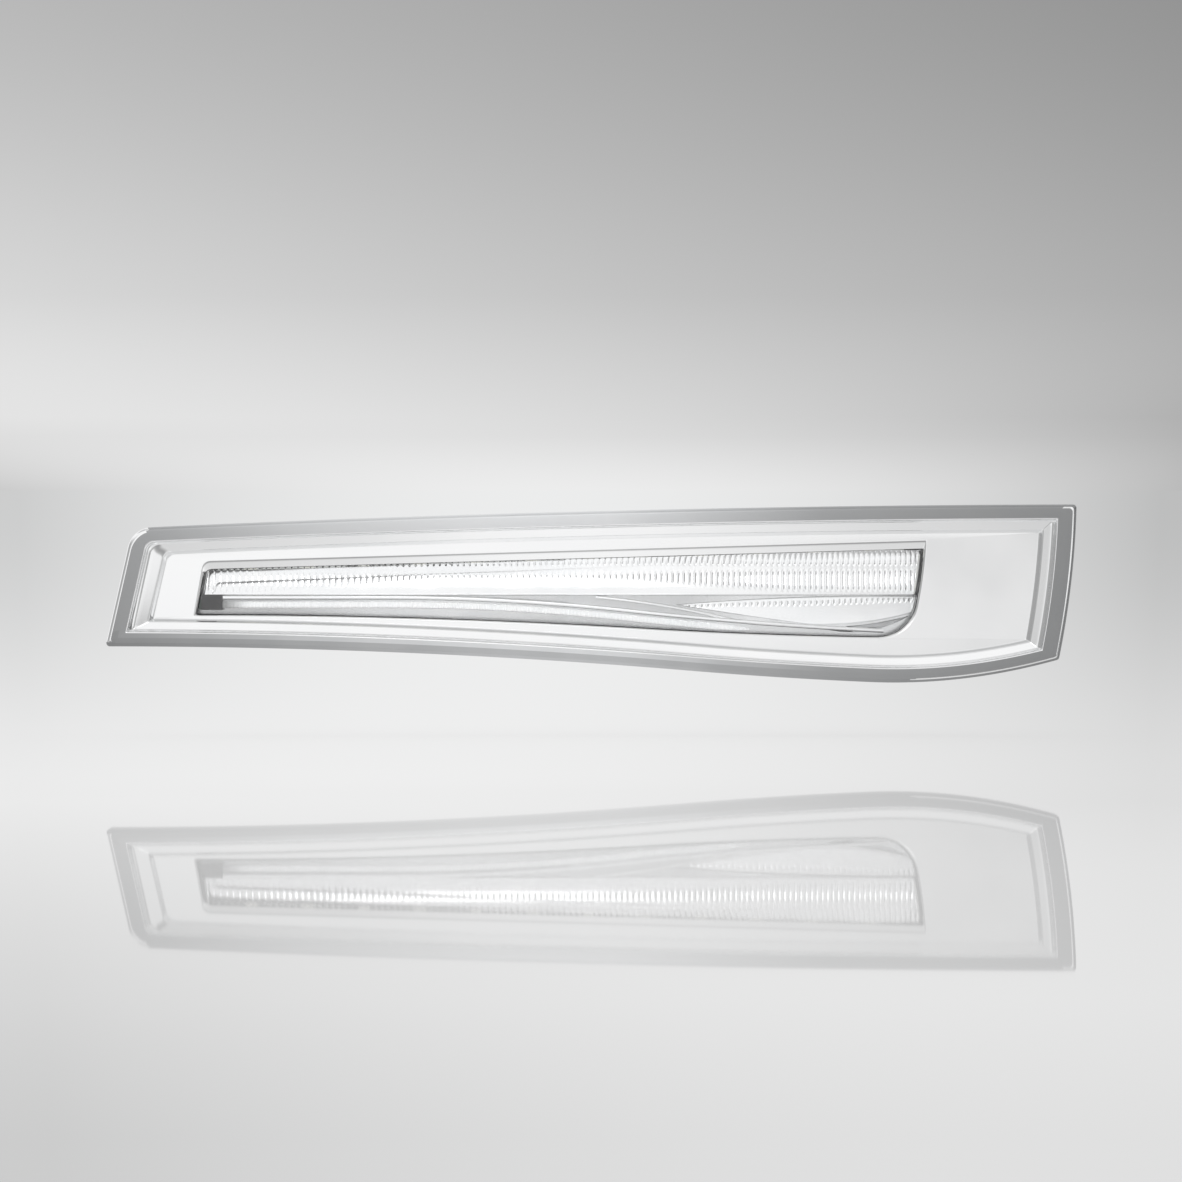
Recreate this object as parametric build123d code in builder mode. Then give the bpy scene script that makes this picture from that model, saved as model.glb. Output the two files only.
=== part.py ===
from build123d import *
import math
import os

os.makedirs("parts", exist_ok=True)

# Millimetres, +Z up, light leaves towards -Y.
# Heights are measured forward from the plane of the fixing holes, at Y = 0.

# Face outline
face_length = 275.0
left_height = 33.5
top_left_z = 17.5
top_rise = 6.7  # top right corner above the top left one
left_lean = 7.6  # top left corner stands this far right of the bottom left one
right_lean = 5.0  # bottom right corner stands this far left of the top right one
top_bow = 1.5
right_bow = 1.0
knee_from_left = 165.6  # where the lower edge turns from hollow to round
knee_drop = 6.9  # below the bottom left corner
belly_from_right = 58.5  # where the lower edge starts to climb
belly_drop = 10.1
toe_drop = 3.7  # bottom right corner
shoulder_radius = 7.1  # top left corner
inner_shoulder_radius = 2.8
corner_radius = 1.0

# Rim of the frame, drawn in from the outline at the sides, the left end and the right end
rim_in = (3.8, 4.8, 5.2)
bead_in = (0.4, 0.4, 0.4)
cove_in = (0.9, 2.0, 1.3)
band_in = (1.7, 3.1, 1.9)
step_in = (1.2, 1.4, 1.5)
rim_wall = (0.9, 1.2, 1.6)  # left between the cove and the hollow behind the rim
rim_cover = 0.7
bead_drop = 0.4
cove_drop = 2.4
band_drop = 0.6
step_drop = 1.6
rim_edge_radius = 1.1
frame_wall = 2.2
frame_depth = 14.0
rim_seal_depth = 2.5
rim_seal_setback = 0.3
rim_seal_lap = 0.2

# Window in the face panel, by its margins to the outline
window_left_margin = 24.8
window_right_margin = 42.4
window_left_lean = 2.7
window_right_lean = 4.6
window_right_bow = 0.8
window_top_left_margin = 9.7
window_top_right_margin = 10.5
window_sill = 8.5  # under the lower left corner
window_knee_sill = 11.6
window_belly_sill = 12.4
window_toe_sill = 5.7
window_knee_from_left = 126.8
window_belly_from_right = 19.1
window_shoulder_radius = 2.5
window_heel_radius = 11.5
reveal_top = 1.9
reveal_side = 0.6

# Depths from the rear wall forward
rear_wall_height = 11.0
rear_wall = 2.0
driver_gap = 1.5
driver_width = 11.0
bezel_gap = 0.5
bezel_wall = 2.0
guide_gap = 2.55
guide_size = 1.9
blade_gap = 0.55
blade_depth = 1.2
lens_gap = 0.4
lens_wall = 2.2

# Lens, seal and housing
lens_stand = 1.3  # lens front above the back of the face panel
lens_clearance = 0.25
tongue_width = 1.6
tongue_depth = 2.8
tongue_clearance = 0.2
seal_bead = 0.7
housing_wall = 1.8
groove_wall = 1.4
groove_base = 1.5
cavity_clearance = 0.3
fit_clearance = 0.1
rib_count = 6
rib_thickness = 1.4
rib_setback = 0.8

# Fluted reflectors
guide_room = 5.9  # from the window's lower left corner up to the trough
trough_setback = 3.4  # trough's lip behind the blade
trough_rake = 1.0
trough_radius = 40.0
crown_drop = 2.7  # below the window's upper right corner
ceiling_drop = 1.7  # trough's top edge below the window's top edge
pocket_setback = 1.0
pocket_rake = 1.2
pocket_radius = 20.0
reflector_wall = 1.5
reflector_margin = 0.8
trough_flats = 3
first_flute = 1.84
last_flute = 1.47
flute_height = 0.28
post_size = 2.6
post_bite = 0.5

# Blade, light guide and bezel
blade_thickness = 1.2
blade_over_knee = 5.3
blade_over_belly = 2.0
sweep_from_left = 54.7  # where blade and guide start to fall
blade_knee_from_left = 122.7
blade_root_from_right = 101.1  # right of here the blade reaches back to the bezel
blade_from_right = 12.0
branch_thickness = 0.9
branch_setback = 1.2
branch_bow = 0.8
branch_from_right = 54.0
guide_drop = 2.05
guide_from_right = 50.0
guide_chamfer = 0.45
holder_length = 6.0
holder_wall = 0.5
guide_board_thickness = 1.0
guide_board_width = 2.6
guide_board_depth = 5.2
guide_diode_size = 1.2
guide_diode_height = 0.7

# Places on the bezel: distance left of the window's right end, drop below the trough's lip
pocket_tip = (71.0, 2.8)
pocket_crown = (43.0, 0.9)
pocket_shoulder = (2.6, 0.3)
pocket_heel = (3.8, 5.1)
pocket_floor = (17.0, 7.8)
pocket_sole = (33.0, 8.4)
pocket_waist = (54.0, 5.5)
slot_left = (31.0, 9.1)
slot_right = (4.4, 5.9)
slot_upper = (17.0, 8.4)
slot_lower = (14.5, 9.9)
branch_left = (93.7, 0.6)

# Light diodes and cooling
board_thickness = 1.6
board_width = 7.6
board_setback = 1.4
board_end_gap = 5.9
ceiling_gap = 0.25
diode_count = 12
diode_size = 3.0
diode_thickness = 0.8
diode_setback = 1.0
diode_end_gap = 8.5
pad_thickness = 0.5
pad_width = 6.0
pad_end_gap = 5.0
shelf_thickness = 1.8
shelf_setback = 1.2
shelf_gap = 0.25
sink_from_left = 41.7
sink_gap = 1.6
sink_margin = 0.3
sink_plate = 2.7
sink_lap = 1.5
opening_height = 10.1
gasket_thickness = 0.8
gasket_width = 1.4
fin_count = 25
fin_thickness = 1.6
fin_depth = 6.5
fin_end_gap = 3.0

# Fixing, connector, vent, driver
fixing_inset = 31.5
tower_wall = 2.1
insert_radius = 3.4
insert_bore_radius = 2.1
insert_length = 10.0
gusset_thickness = 2.4
gusset_setback = 3.0
locating_pin_radius = 3.0
locating_pin_length = 8.0
locating_pin_z = -6.0
screw_radius = 1.1
screw_clearance = 0.2
screw_head_radius = 2.4
screw_head = 1.7
screw_bite = 4.6
boss_radius = 2.8
boss_length = 5.6
boss_bite = 1.0
tab_thickness = 2.4
tab_margin = 1.0
left_screw = (14.6, -1.0)  # distance from the end of the face, Z
right_upper_screw = (20.5, 9.5)
right_lower_screw = (23.0, -9.0)
socket_from_right = 11.5
socket_rise = 3.1  # above the trough's lip
socket_length = 18.0
socket_width = 12.5
socket_wall = 1.5
socket_radius = 1.6
socket_flange = 2.0
socket_depth = 20.0
socket_floor = 4.0
pin_pitch = 6.0
pin_width = 2.8
pin_thickness = 0.8
pin_reach = 7.0
pin_tail = 4.0
pin_room = 0.6
vent_gap = 9.5
vent_z = 1.0
vent_boss_radius = 3.5
vent_boss = 3.0
vent_hole_radius = 1.8
vent_cap_lip = 1.0
vent_cap_thickness = 1.4
driver_length = 64.0
driver_lift = 0.5
seat_thickness = 2.0
seat_inset = 6.0

left_x = -face_length / 2
right_x = face_length / 2
bottom_left_z = top_left_z - left_height
window_left = left_x + window_left_margin
window_right = right_x - window_right_margin
window_top_left_z = top_left_z - window_top_left_margin
window_top_right_z = top_left_z + top_rise - window_top_right_margin
window_bottom_left_z = bottom_left_z + window_sill
window_knee_z = bottom_left_z - knee_drop + window_knee_sill
window_belly_z = bottom_left_z - belly_drop + window_belly_sill
slope = (window_top_right_z - window_top_left_z) / (window_right - window_left - window_left_lean)

cavity_back = rear_wall_height + rear_wall
driver_back = cavity_back + driver_gap
bezel_back = driver_back + driver_width + bezel_gap
bezel_height = bezel_back + bezel_wall
guide_back = bezel_height + guide_gap
guide_height = guide_back + guide_size / 2
blade_back = guide_back + guide_size + blade_gap
blade_height = blade_back + blade_depth
lens_base = blade_height + lens_gap
housing_front = lens_base - lens_clearance / 2
panel_back = lens_base + lens_wall
panel_height = panel_back + frame_wall
band_inner_height = panel_height + step_drop
band_outer_height = band_inner_height + band_drop
bead_height = band_outer_height + cove_drop
face_height = bead_height + bead_drop
frame_back = face_height - frame_depth
groove_floor = lens_base - tongue_depth - seal_bead
tab_front = panel_back - boss_length
tab_back = tab_front - tab_thickness

# Levels measured up from the window's top edge
board_under = ceiling_gap - ceiling_drop
pad_under = board_under + board_thickness
shelf_under = pad_under + pad_thickness
cavity_top = shelf_under + shelf_thickness + shelf_gap
headroom = cavity_top - cavity_clearance
opening_high = shelf_under + shelf_thickness + fit_clearance
opening_low = opening_high - opening_height
sink_high = cavity_top + housing_wall - sink_margin
sink_low = opening_low - gasket_width - sink_lap

groove_inner = cavity_clearance + groove_wall
groove_outer = groove_inner + tongue_width + 2 * tongue_clearance
housing_rim = groove_outer + groove_wall
housing_outer = cavity_clearance + housing_wall


class EdgeLoop:
    # Tapered outline: straight left end, bowed top and right end, lower edge with a knee and a belly
    def __init__(self, ends, lean, bows, top, bottom, knee, belly, radii):
        self.left, self.right = ends
        self.left_lean, self.right_lean = lean
        self.top_bow, self.right_bow = bows
        self.top_left, self.top_right = top
        self.bottom_left, self.bottom_right = bottom
        self.knee, self.belly, self.radii = knee, belly, radii

    def left_at(self, z):
        return self.left + self.left_lean * (z - self.bottom_left) / (self.top_left - self.bottom_left)

    def right_at(self, z):
        share = (self.top_right - z) / (self.top_right - self.bottom_right)
        return self.right - self.right_lean * share + 4 * self.right_bow * share * (1 - share)

    def top_at(self, x):
        start = self.left + self.left_lean
        share = (x - start) / (self.right - start)
        chord = self.top_left + (self.top_right - self.top_left) * share
        return chord + 4 * self.top_bow * share * (1 - share)

    def tail_at(self, x):
        run = self.knee[0] - self.left
        knee_slope = 2 * (self.knee[1] - self.bottom_left) / run
        belly_slope = 2 * (self.belly[1] - self.knee[1]) / (self.belly[0] - self.knee[0]) - knee_slope
        reach = self.right - self.right_lean - self.belly[0]
        bend = ((self.bottom_right - self.belly[1]) / reach - belly_slope) / reach
        return self.belly[1] + belly_slope * (x - self.belly[0]) + bend * (x - self.belly[0]) ** 2

    # The outline drawn in by the four amounts, as a face at a height
    def face(self, height, top, bottom, left, right, radii=None):
        upper_left = lower_right = upper_right = (0.0, 0.0)
        for _ in range(6):
            x = self.left_at(upper_left[1]) + left
            upper_left = (x, self.top_at(x) - top)
            x = self.right_at(upper_right[1]) - right
            upper_right = (x, self.top_at(x) - top)
            x = self.right_at(lower_right[1]) - right
            lower_right = (x, self.tail_at(x) + bottom)
        base = self.bottom_left + bottom
        lower_left = (self.left_at(base) + left, base)
        middle = (upper_left[0] + upper_right[0]) / 2
        waist = (upper_right[1] + lower_right[1]) / 2
        with BuildSketch(Plane.XZ.offset(height), mode=Mode.PRIVATE) as sketch:
            with BuildLine():
                if self.top_bow:
                    ThreePointArc(upper_left, (middle, self.top_at(middle) - top), upper_right)
                else:
                    Line(upper_left, upper_right)
                ThreePointArc(upper_right, (self.right_at(waist) - right, waist), lower_right)
                rise = TangentArc(lower_left, (self.knee[0], self.knee[1] + bottom), tangent=(1, 0))
                belly = TangentArc(rise @ 1, (self.belly[0], self.belly[1] + bottom), tangent=rise % 1)
                TangentArc(belly @ 1, lower_right, tangent=belly % 1)
                Line(lower_left, upper_left)
            make_face()
            corners = (upper_left, upper_right, lower_right, lower_left)
            for corner, radius in zip(corners, radii or self.radii):
                if radius:
                    fillet(sketch.vertices().sort_by_distance(Vector(*corner))[0], radius)
        return sketch.sketch


outer_edge = EdgeLoop(
    ends=(left_x, right_x),
    lean=(left_lean, right_lean),
    bows=(top_bow, right_bow),
    top=(top_left_z, top_left_z + top_rise),
    bottom=(bottom_left_z, bottom_left_z - toe_drop),
    knee=(left_x + knee_from_left, bottom_left_z - knee_drop),
    belly=(right_x - belly_from_right, bottom_left_z - belly_drop),
    radii=(inner_shoulder_radius, 0, 0, 0),
)
window_edge = EdgeLoop(
    ends=(window_left, window_right),
    lean=(window_left_lean, window_right_lean),
    bows=(0, window_right_bow),
    top=(window_top_left_z, window_top_right_z),
    bottom=(window_bottom_left_z, bottom_left_z - toe_drop + window_toe_sill),
    knee=(window_left + window_knee_from_left, window_knee_z),
    belly=(window_right - window_belly_from_right, window_belly_z),
    radii=(window_shoulder_radius, 0, window_heel_radius, 0),
)
outer_radii = (shoulder_radius, corner_radius, corner_radius, corner_radius)

trough_lip = (blade_back - trough_setback, window_bottom_left_z + guide_room)
trough_crown = (trough_lip[0] - trough_rake, window_top_right_z - crown_drop)
lip_z = trough_lip[1]


def bezel_point(place):
    return window_right - place[0], lip_z - place[1]


pocket_lip = (bezel_height - pocket_setback, bezel_point(pocket_sole)[1] - fit_clearance)
pocket_top = (pocket_lip[0] - pocket_rake, lip_z)
blade_left_z = lip_z - fit_clearance - blade_thickness / 2
blade_knee = (window_left + blade_knee_from_left, window_knee_z + blade_over_knee)
blade_end = (window_right - blade_from_right, window_belly_z + blade_over_belly)
sweep_start = window_left + sweep_from_left
guide_left_z = blade_left_z - guide_drop
guide_board_x = window_edge.left_at(guide_left_z) + holder_wall
holder_x = guide_board_x + guide_board_thickness
guide_left = holder_x + holder_length

socket_x = window_right - socket_from_right
socket_z = lip_z + socket_rise
sink_left = window_left + sink_from_left
sink_right = socket_x - socket_length / 2 - socket_flange - sink_gap
sink_x = (sink_left + sink_right) / 2
sink_length = sink_right - sink_left
sink_flange = gasket_width + 2 * screw_head_radius
opening_length = sink_length - 2 * sink_flange
sink_back = rear_wall_height - gasket_thickness - sink_plate
sink_screw_reach = sink_length / 2 - screw_head_radius - screw_clearance
sink_screw_places = [(sink_x + side * sink_screw_reach, (sink_low + sink_high) / 2) for side in (-1, 1)]
board_middle = (window_left + window_right) / 2
board_length = window_right - window_left - 2 * board_end_gap
board_front = lens_base - board_setback
vent_x = sink_left - vent_gap - vent_boss_radius - vent_cap_lip
driver_x = sink_left + driver_length / 2
driver_z = window_bottom_left_z + driver_lift
driver_top = driver_z + board_thickness
fixing_x = face_length / 2 - fixing_inset
fixing_places = [(-fixing_x, 0), (fixing_x, 0)]
tower_radius = insert_radius + tower_wall
left_screws = [(left_x + left_screw[0], left_screw[1])]
right_screws = [(right_x - inset, z) for inset, z in (right_upper_screw, right_lower_screw)]
frame_screw_places = left_screws + right_screws
pin_places = [(socket_x + side * pin_pitch / 2, socket_z) for side in (-1, 1)]


def forward(height):
    return Plane.XZ.offset(height)


def upright(height, x, z):
    return Plane(origin=(x, -height, z), x_dir=(1, 0, 0), z_dir=(0, -1, 0))


# Plane facing forward whose X runs along the window's top edge, with z measured from that edge
def tilted(height, x, z):
    edge = window_top_left_z + slope * (x - window_left - window_left_lean)
    along = Plane(origin=(x, -height, edge), x_dir=(1, 0, slope), z_dir=(0, -1, 0))
    return Plane(origin=along.from_local_coords((0, z)), x_dir=along.x_dir, z_dir=along.z_dir)


def rim_face(height, side, left, right):
    return outer_edge.face(height, side, side, left, right)


def skirt_face(height, inset):
    return outer_edge.face(height, inset, inset, inset, inset, outer_radii)


# The window's outline grown outward, with headroom for the diode board at the top
def module_face(height, grow):
    radii = [max(radius + grow, corner_radius) for radius in window_edge.radii]
    return window_edge.face(height, -grow - headroom, -grow, -grow, -grow, radii)


def reveal_face(height, inset):
    side = reveal_side + inset
    return window_edge.face(height, reveal_top + inset, side, side, side)


# The window's outline below the diode board, open downward, drawn in at both ends
def end_face(inset):
    return window_edge.face(0, ceiling_drop, -guide_room, inset, inset)


# Line that runs level, then falls in an S to the right, moved up or down by shift
def swept_edge(left, shift):
    level = Line((left, blade_left_z + shift), (sweep_start, blade_left_z + shift))
    fall = TangentArc(level @ 1, (blade_knee[0], blade_knee[1] + shift), tangent=(1, 0))
    end = TangentArc(fall @ 1, (blade_end[0], blade_end[1] + shift), tangent=fall % 1)
    return level, end


# Middle of the blade right of its knee
def blade_z(x):
    fall = 2 * (blade_knee[1] - blade_left_z) / (blade_knee[0] - sweep_start)
    reach = blade_end[0] - blade_knee[0]
    bend = ((blade_end[1] - blade_knee[1]) / reach - fall) / reach
    return blade_knee[1] + fall * (x - blade_knee[0]) + bend * (x - blade_knee[0]) ** 2


# Strip along the sweeping line, cut off at its right end
def ribbon_face(height, left, right, drop, thickness):
    with BuildSketch(forward(height), mode=Mode.PRIVATE) as sketch:
        with BuildLine():
            over, over_end = swept_edge(left, thickness / 2 - drop)
            under, under_end = swept_edge(left, -thickness / 2 - drop)
            Line(over @ 0, under @ 0)
            Line(over_end @ 1, under_end @ 1)
        make_face()
        with Locations((right, 0)):
            Rectangle(face_length, face_length, align=(Align.MAX, Align.CENTER), mode=Mode.INTERSECT)
    return sketch.sketch


def blade_face(height):
    return ribbon_face(height, guide_left, blade_end[0], 0, blade_thickness)


# Opening of the lower reflector: pointed at its left
def pocket_face(height, inset):
    with BuildSketch(forward(height), mode=Mode.PRIVATE) as sketch:
        with BuildLine():
            upper = ThreePointArc(*map(bezel_point, (pocket_tip, pocket_crown, pocket_shoulder)))
            side = Line(upper @ 1, bezel_point(pocket_heel))
            lower = ThreePointArc(side @ 1, bezel_point(pocket_floor), bezel_point(pocket_sole))
            ThreePointArc(lower @ 1, bezel_point(pocket_waist), upper @ 0)
        make_face()
        if inset:
            offset(amount=-inset, mode=Mode.REPLACE)
    return sketch.sketch


# Height of a hollow trough's wall at a level, on an arc through its lip and crown
def trough_height(lip, crown, radius, z):
    chord = math.dist(lip, crown)
    reach = math.sqrt(radius**2 - chord**2 / 4)
    axis_height = (lip[0] + crown[0]) / 2 + reach * (crown[1] - lip[1]) / chord
    axis_z = (lip[1] + crown[1]) / 2 + reach * (lip[0] - crown[0]) / chord
    return axis_height - math.sqrt(radius**2 - (axis_z - z) ** 2)


# Shell of a hollow trough along X, whose front carries upright flutes that get narrower to the right
def fluted_trough(lip, crown, radius, first_x, last_x):
    count = round((last_x - first_x) / ((first_flute + last_flute) / 2))
    ratio = (last_flute / first_flute) ** (1 / (count - 1))
    widths = [first_flute * ratio**number for number in range(count)]
    fit = (last_x - first_x) / sum(widths)
    sections = []
    for share in range(trough_flats + 1):
        z = lip[1] + (crown[1] - lip[1]) * share / trough_flats
        valley = -trough_height(lip, crown, radius, z)
        ridge = [(first_x, valley)]
        for width in widths:
            x = ridge[-1][0]
            ridge += [(x + width * fit / 2, valley - flute_height), (x + width * fit, valley)]
        back = valley + reflector_wall
        with BuildSketch(Plane.XY.offset(z), mode=Mode.PRIVATE) as section:
            with BuildLine():
                Polyline(*ridge, (last_x, back), (first_x, back), close=True)
            make_face()
        sections.append(section.sketch)
    return loft(sections, ruled=True, mode=Mode.PRIVATE)


# Square posts from the housing's rear wall forward to a reflector or the bezel
def posts(places, top):
    with BuildPart(mode=Mode.PRIVATE) as pegs:
        with BuildSketch(forward(cavity_back)):
            with Locations(*places):
                Rectangle(post_size, post_size)
        extrude(amount=top - cavity_back)
    return pegs.part


# Screws whose heads stand behind the seat and whose shanks run forward
def pan_screws(places, seat, length, plane_at):
    with BuildPart(mode=Mode.PRIVATE) as screws:
        for x, z in places:
            with BuildSketch(plane_at(seat, x, z)):
                RegularPolygon(screw_head_radius, 6)
            extrude(amount=-screw_head)
            with BuildSketch(plane_at(seat, x, z)):
                Circle(screw_radius)
            extrude(amount=length)
    return screws.part


with BuildPart() as rim_hollow:
    extrude(skirt_face(panel_back, frame_wall), amount=band_outer_height - panel_back - rim_cover)
    loft(
        [
            rim_face(panel_back, *[sum(steps) for steps in zip(rim_in, bead_in, cove_in, band_in)]),
            rim_face(band_outer_height, *[rim - wall for rim, wall in zip(rim_in, rim_wall)]),
        ],
        ruled=True,
        mode=Mode.SUBTRACT,
    )

with BuildPart() as trim_frame:
    extrude(skirt_face(frame_back, 0), amount=frame_depth)
    inset = rim_in
    terraces = [rim_face(face_height, *inset)]
    for height, step in (
        (bead_height, bead_in),
        (band_outer_height, cove_in),
        (band_inner_height, band_in),
        (panel_height, step_in),
    ):
        inset = [start + more for start, more in zip(inset, step)]
        terraces.append(rim_face(height, *inset))
    loft(terraces, ruled=True, mode=Mode.SUBTRACT)
    extrude(skirt_face(frame_back, frame_wall), amount=panel_back - frame_back, mode=Mode.SUBTRACT)
    add(rim_hollow.part, mode=Mode.SUBTRACT)
    opening = [window_edge.face(panel_height, 0, 0, 0, 0), reveal_face(panel_back, 0)]
    loft(opening, ruled=True, mode=Mode.SUBTRACT)
    rim = trim_frame.faces().filter_by(Axis.Y).sort_by(Axis.Y)[0]
    fillet(rim.outer_wire().edges(), rim_edge_radius)
    with BuildSketch(forward(tab_front)):
        with Locations(*frame_screw_places):
            Circle(boss_radius)
    extrude(amount=boss_length + boss_bite)
    with BuildSketch(forward(tab_front)):
        with Locations(*frame_screw_places):
            Circle(screw_radius)
    extrude(amount=boss_length, mode=Mode.SUBTRACT)

with BuildPart() as rim_seal:
    seal_back = frame_back - rim_seal_depth
    extrude(skirt_face(seal_back, rim_seal_setback), amount=rim_seal_depth)
    extrude(skirt_face(seal_back, frame_wall + rim_seal_lap), amount=rim_seal_depth, mode=Mode.SUBTRACT)

with BuildPart() as outer_lens:
    tongue_back = lens_base - tongue_depth
    extrude(module_face(tongue_back, groove_outer - tongue_clearance), amount=tongue_depth + lens_wall)
    inside = groove_inner + tongue_clearance
    extrude(module_face(tongue_back, inside), amount=tongue_depth, mode=Mode.SUBTRACT)
    extrude(reveal_face(panel_back, lens_clearance), amount=lens_stand)
    extrude(reveal_face(lens_base, lens_clearance + lens_wall), amount=lens_stand, mode=Mode.SUBTRACT)

with BuildPart() as lens_seal:
    extrude(module_face(groove_floor, groove_outer), amount=seal_bead)
    extrude(module_face(groove_floor, groove_inner), amount=seal_bead, mode=Mode.SUBTRACT)

with BuildPart() as upper_reflector:
    add(fluted_trough(trough_lip, trough_crown, trough_radius, window_left, window_right))
    with BuildSketch(forward(cavity_back)):
        add(end_face(reflector_margin))
    extrude(amount=housing_front - cavity_back, mode=Mode.INTERSECT)
    with BuildSketch(forward(trough_crown[0] - reflector_wall)):
        add(end_face(-fit_clearance))
        add(end_face(reflector_margin), mode=Mode.SUBTRACT)
        with Locations((0, lip_z)):
            Rectangle(face_length, face_length, align=(Align.CENTER, Align.MIN), mode=Mode.INTERSECT)
    extrude(amount=reflector_wall + trough_rake + flute_height + fit_clearance)
    post_z = (lip_z + window_top_left_z - ceiling_drop) / 2
    post_top = trough_height(trough_lip, trough_crown, trough_radius, post_z) - reflector_wall + post_bite
    post_ends = (window_left + sink_from_left / 2, window_right - socket_from_right)
    add(posts([(x, post_z + post_size / 2) for x in post_ends], post_top))

with BuildPart() as lower_reflector:
    add(fluted_trough(pocket_lip, pocket_top, pocket_radius, bezel_point(pocket_tip)[0], window_right))
    extrude(pocket_face(cavity_back, fit_clearance), amount=housing_front - cavity_back, mode=Mode.INTERSECT)
    post_x, crown_z = bezel_point(pocket_crown)
    post_z = crown_z - post_size
    post_top = trough_height(pocket_lip, pocket_top, pocket_radius, post_z) - reflector_wall + post_bite
    add(posts([(post_x, post_z)], post_top))

with BuildPart() as inner_bezel:
    extrude(module_face(bezel_back, cavity_clearance - fit_clearance), amount=bezel_wall)
    with BuildSketch(forward(bezel_back)):
        with Locations((0, lip_z)):
            Rectangle(face_length, face_length, align=(Align.CENTER, Align.MIN))
    extrude(amount=bezel_wall, mode=Mode.SUBTRACT)
    extrude(pocket_face(bezel_back, 0), amount=bezel_wall, mode=Mode.SUBTRACT)
    with BuildSketch(forward(bezel_back)):
        with BuildLine():
            ThreePointArc(*map(bezel_point, (slot_left, slot_upper, slot_right)))
            ThreePointArc(*map(bezel_point, (slot_left, slot_lower, slot_right)))
        make_face()
    extrude(amount=bezel_wall, mode=Mode.SUBTRACT)
    left_post = (sink_left - post_size, guide_left_z)
    right_post = (window_right - window_belly_from_right, window_belly_z + post_size / 2)
    add(posts([left_post, right_post], bezel_back))

with BuildPart() as divider_blade:
    extrude(blade_face(bezel_height), amount=blade_height - bezel_height)
    with BuildSketch(forward(bezel_height)):
        with Locations((window_right - blade_root_from_right, 0)):
            Rectangle(face_length, face_length, align=(Align.MAX, Align.CENTER))
    extrude(amount=blade_back - bezel_height, mode=Mode.SUBTRACT)
    branch_start = Vector(*bezel_point(branch_left))
    branch_end = Vector(window_right - branch_from_right, blade_z(window_right - branch_from_right))
    with BuildSketch(forward(bezel_height)):
        with BuildLine() as branch:
            ThreePointArc(branch_start, (branch_start + branch_end) / 2 + Vector(0, branch_bow), branch_end)
        trace(branch.line, branch_thickness)
    extrude(amount=blade_height - branch_setback - bezel_height)

with BuildPart() as light_guide:
    guide_start = guide_left - holder_length + guide_diode_height + fit_clearance
    guide_right = window_right - guide_from_right
    extrude(ribbon_face(guide_back, guide_start, guide_right, guide_drop, guide_size), amount=guide_size)
    front = light_guide.faces().filter_by(Axis.Y).sort_by(Axis.Y)[0]
    chamfer(front.edges().filter_by(Axis.Z, reverse=True), guide_chamfer)

with BuildPart() as guide_holder:
    holder_top = lip_z - fit_clearance
    holder_bottom = guide_left_z - guide_size / 2 - holder_wall
    with BuildSketch(forward(guide_back - holder_wall)):
        with Locations((holder_x, holder_bottom)):
            Rectangle(
                holder_length - fit_clearance, holder_top - holder_bottom, align=(Align.MIN, Align.MIN)
            )
    extrude(amount=blade_height - guide_back + holder_wall)
    with BuildSketch(Plane(origin=(holder_x, -guide_height, guide_left_z), z_dir=(1, 0, 0))):
        Rectangle(guide_size + 2 * fit_clearance, guide_size + 2 * fit_clearance)
    extrude(amount=holder_length, mode=Mode.SUBTRACT)

with BuildPart() as guide_board:
    with BuildSketch(upright(guide_height - guide_board_depth / 2, guide_board_x, guide_left_z)):
        Rectangle(guide_board_thickness, guide_board_width, align=(Align.MIN, Align.CENTER))
    extrude(amount=guide_board_depth)

with BuildPart() as guide_diode:
    with BuildSketch(upright(guide_height - guide_diode_size / 2, holder_x, guide_left_z)):
        Rectangle(guide_diode_height, guide_diode_size, align=(Align.MIN, Align.CENTER))
    extrude(amount=guide_diode_size)

with BuildPart() as diode_board:
    with BuildSketch(tilted(board_front - board_width, board_middle, board_under)):
        Rectangle(board_length, board_thickness, align=(Align.CENTER, Align.MIN))
    extrude(amount=board_width)

with BuildPart() as light_diodes:
    diode_reach = board_length / 2 - diode_end_gap - diode_size / 2
    for number in range(diode_count):
        x = board_middle + diode_reach * (2 * number / (diode_count - 1) - 1)
        with BuildSketch(tilted(board_front - diode_setback - diode_size, x, board_under)):
            Rectangle(diode_size, diode_thickness, align=(Align.CENTER, Align.MAX))
        extrude(amount=diode_size)

with BuildPart() as thermal_pad:
    with BuildSketch(tilted(board_front - board_setback - pad_width, sink_x, pad_under)):
        Rectangle(opening_length - 2 * pad_end_gap, pad_thickness, align=(Align.CENTER, Align.MIN))
    extrude(amount=pad_width)

with BuildPart() as heat_sink:
    with BuildSketch(tilted(sink_back, sink_x, sink_low)):
        Rectangle(sink_length, sink_high - sink_low, align=(Align.CENTER, Align.MIN))
    extrude(amount=sink_plate)
    with BuildSketch(tilted(sink_back, sink_x, sink_low)):
        with GridLocations((opening_length - 2 * fin_end_gap) / (fin_count - 1), 0, fin_count, 1):
            Rectangle(fin_thickness, sink_high - sink_low, align=(Align.CENTER, Align.MIN))
    extrude(amount=-fin_depth)
    with BuildSketch(tilted(sink_back + sink_plate, sink_x, shelf_under)):
        Rectangle(opening_length - 2 * fin_end_gap, shelf_thickness, align=(Align.CENTER, Align.MIN))
    extrude(amount=board_front - shelf_setback - sink_back - sink_plate)
    for x, z in sink_screw_places:
        with BuildSketch(tilted(sink_back, x, z)):
            Circle(screw_radius + screw_clearance)
        extrude(amount=sink_plate, mode=Mode.SUBTRACT)

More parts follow.
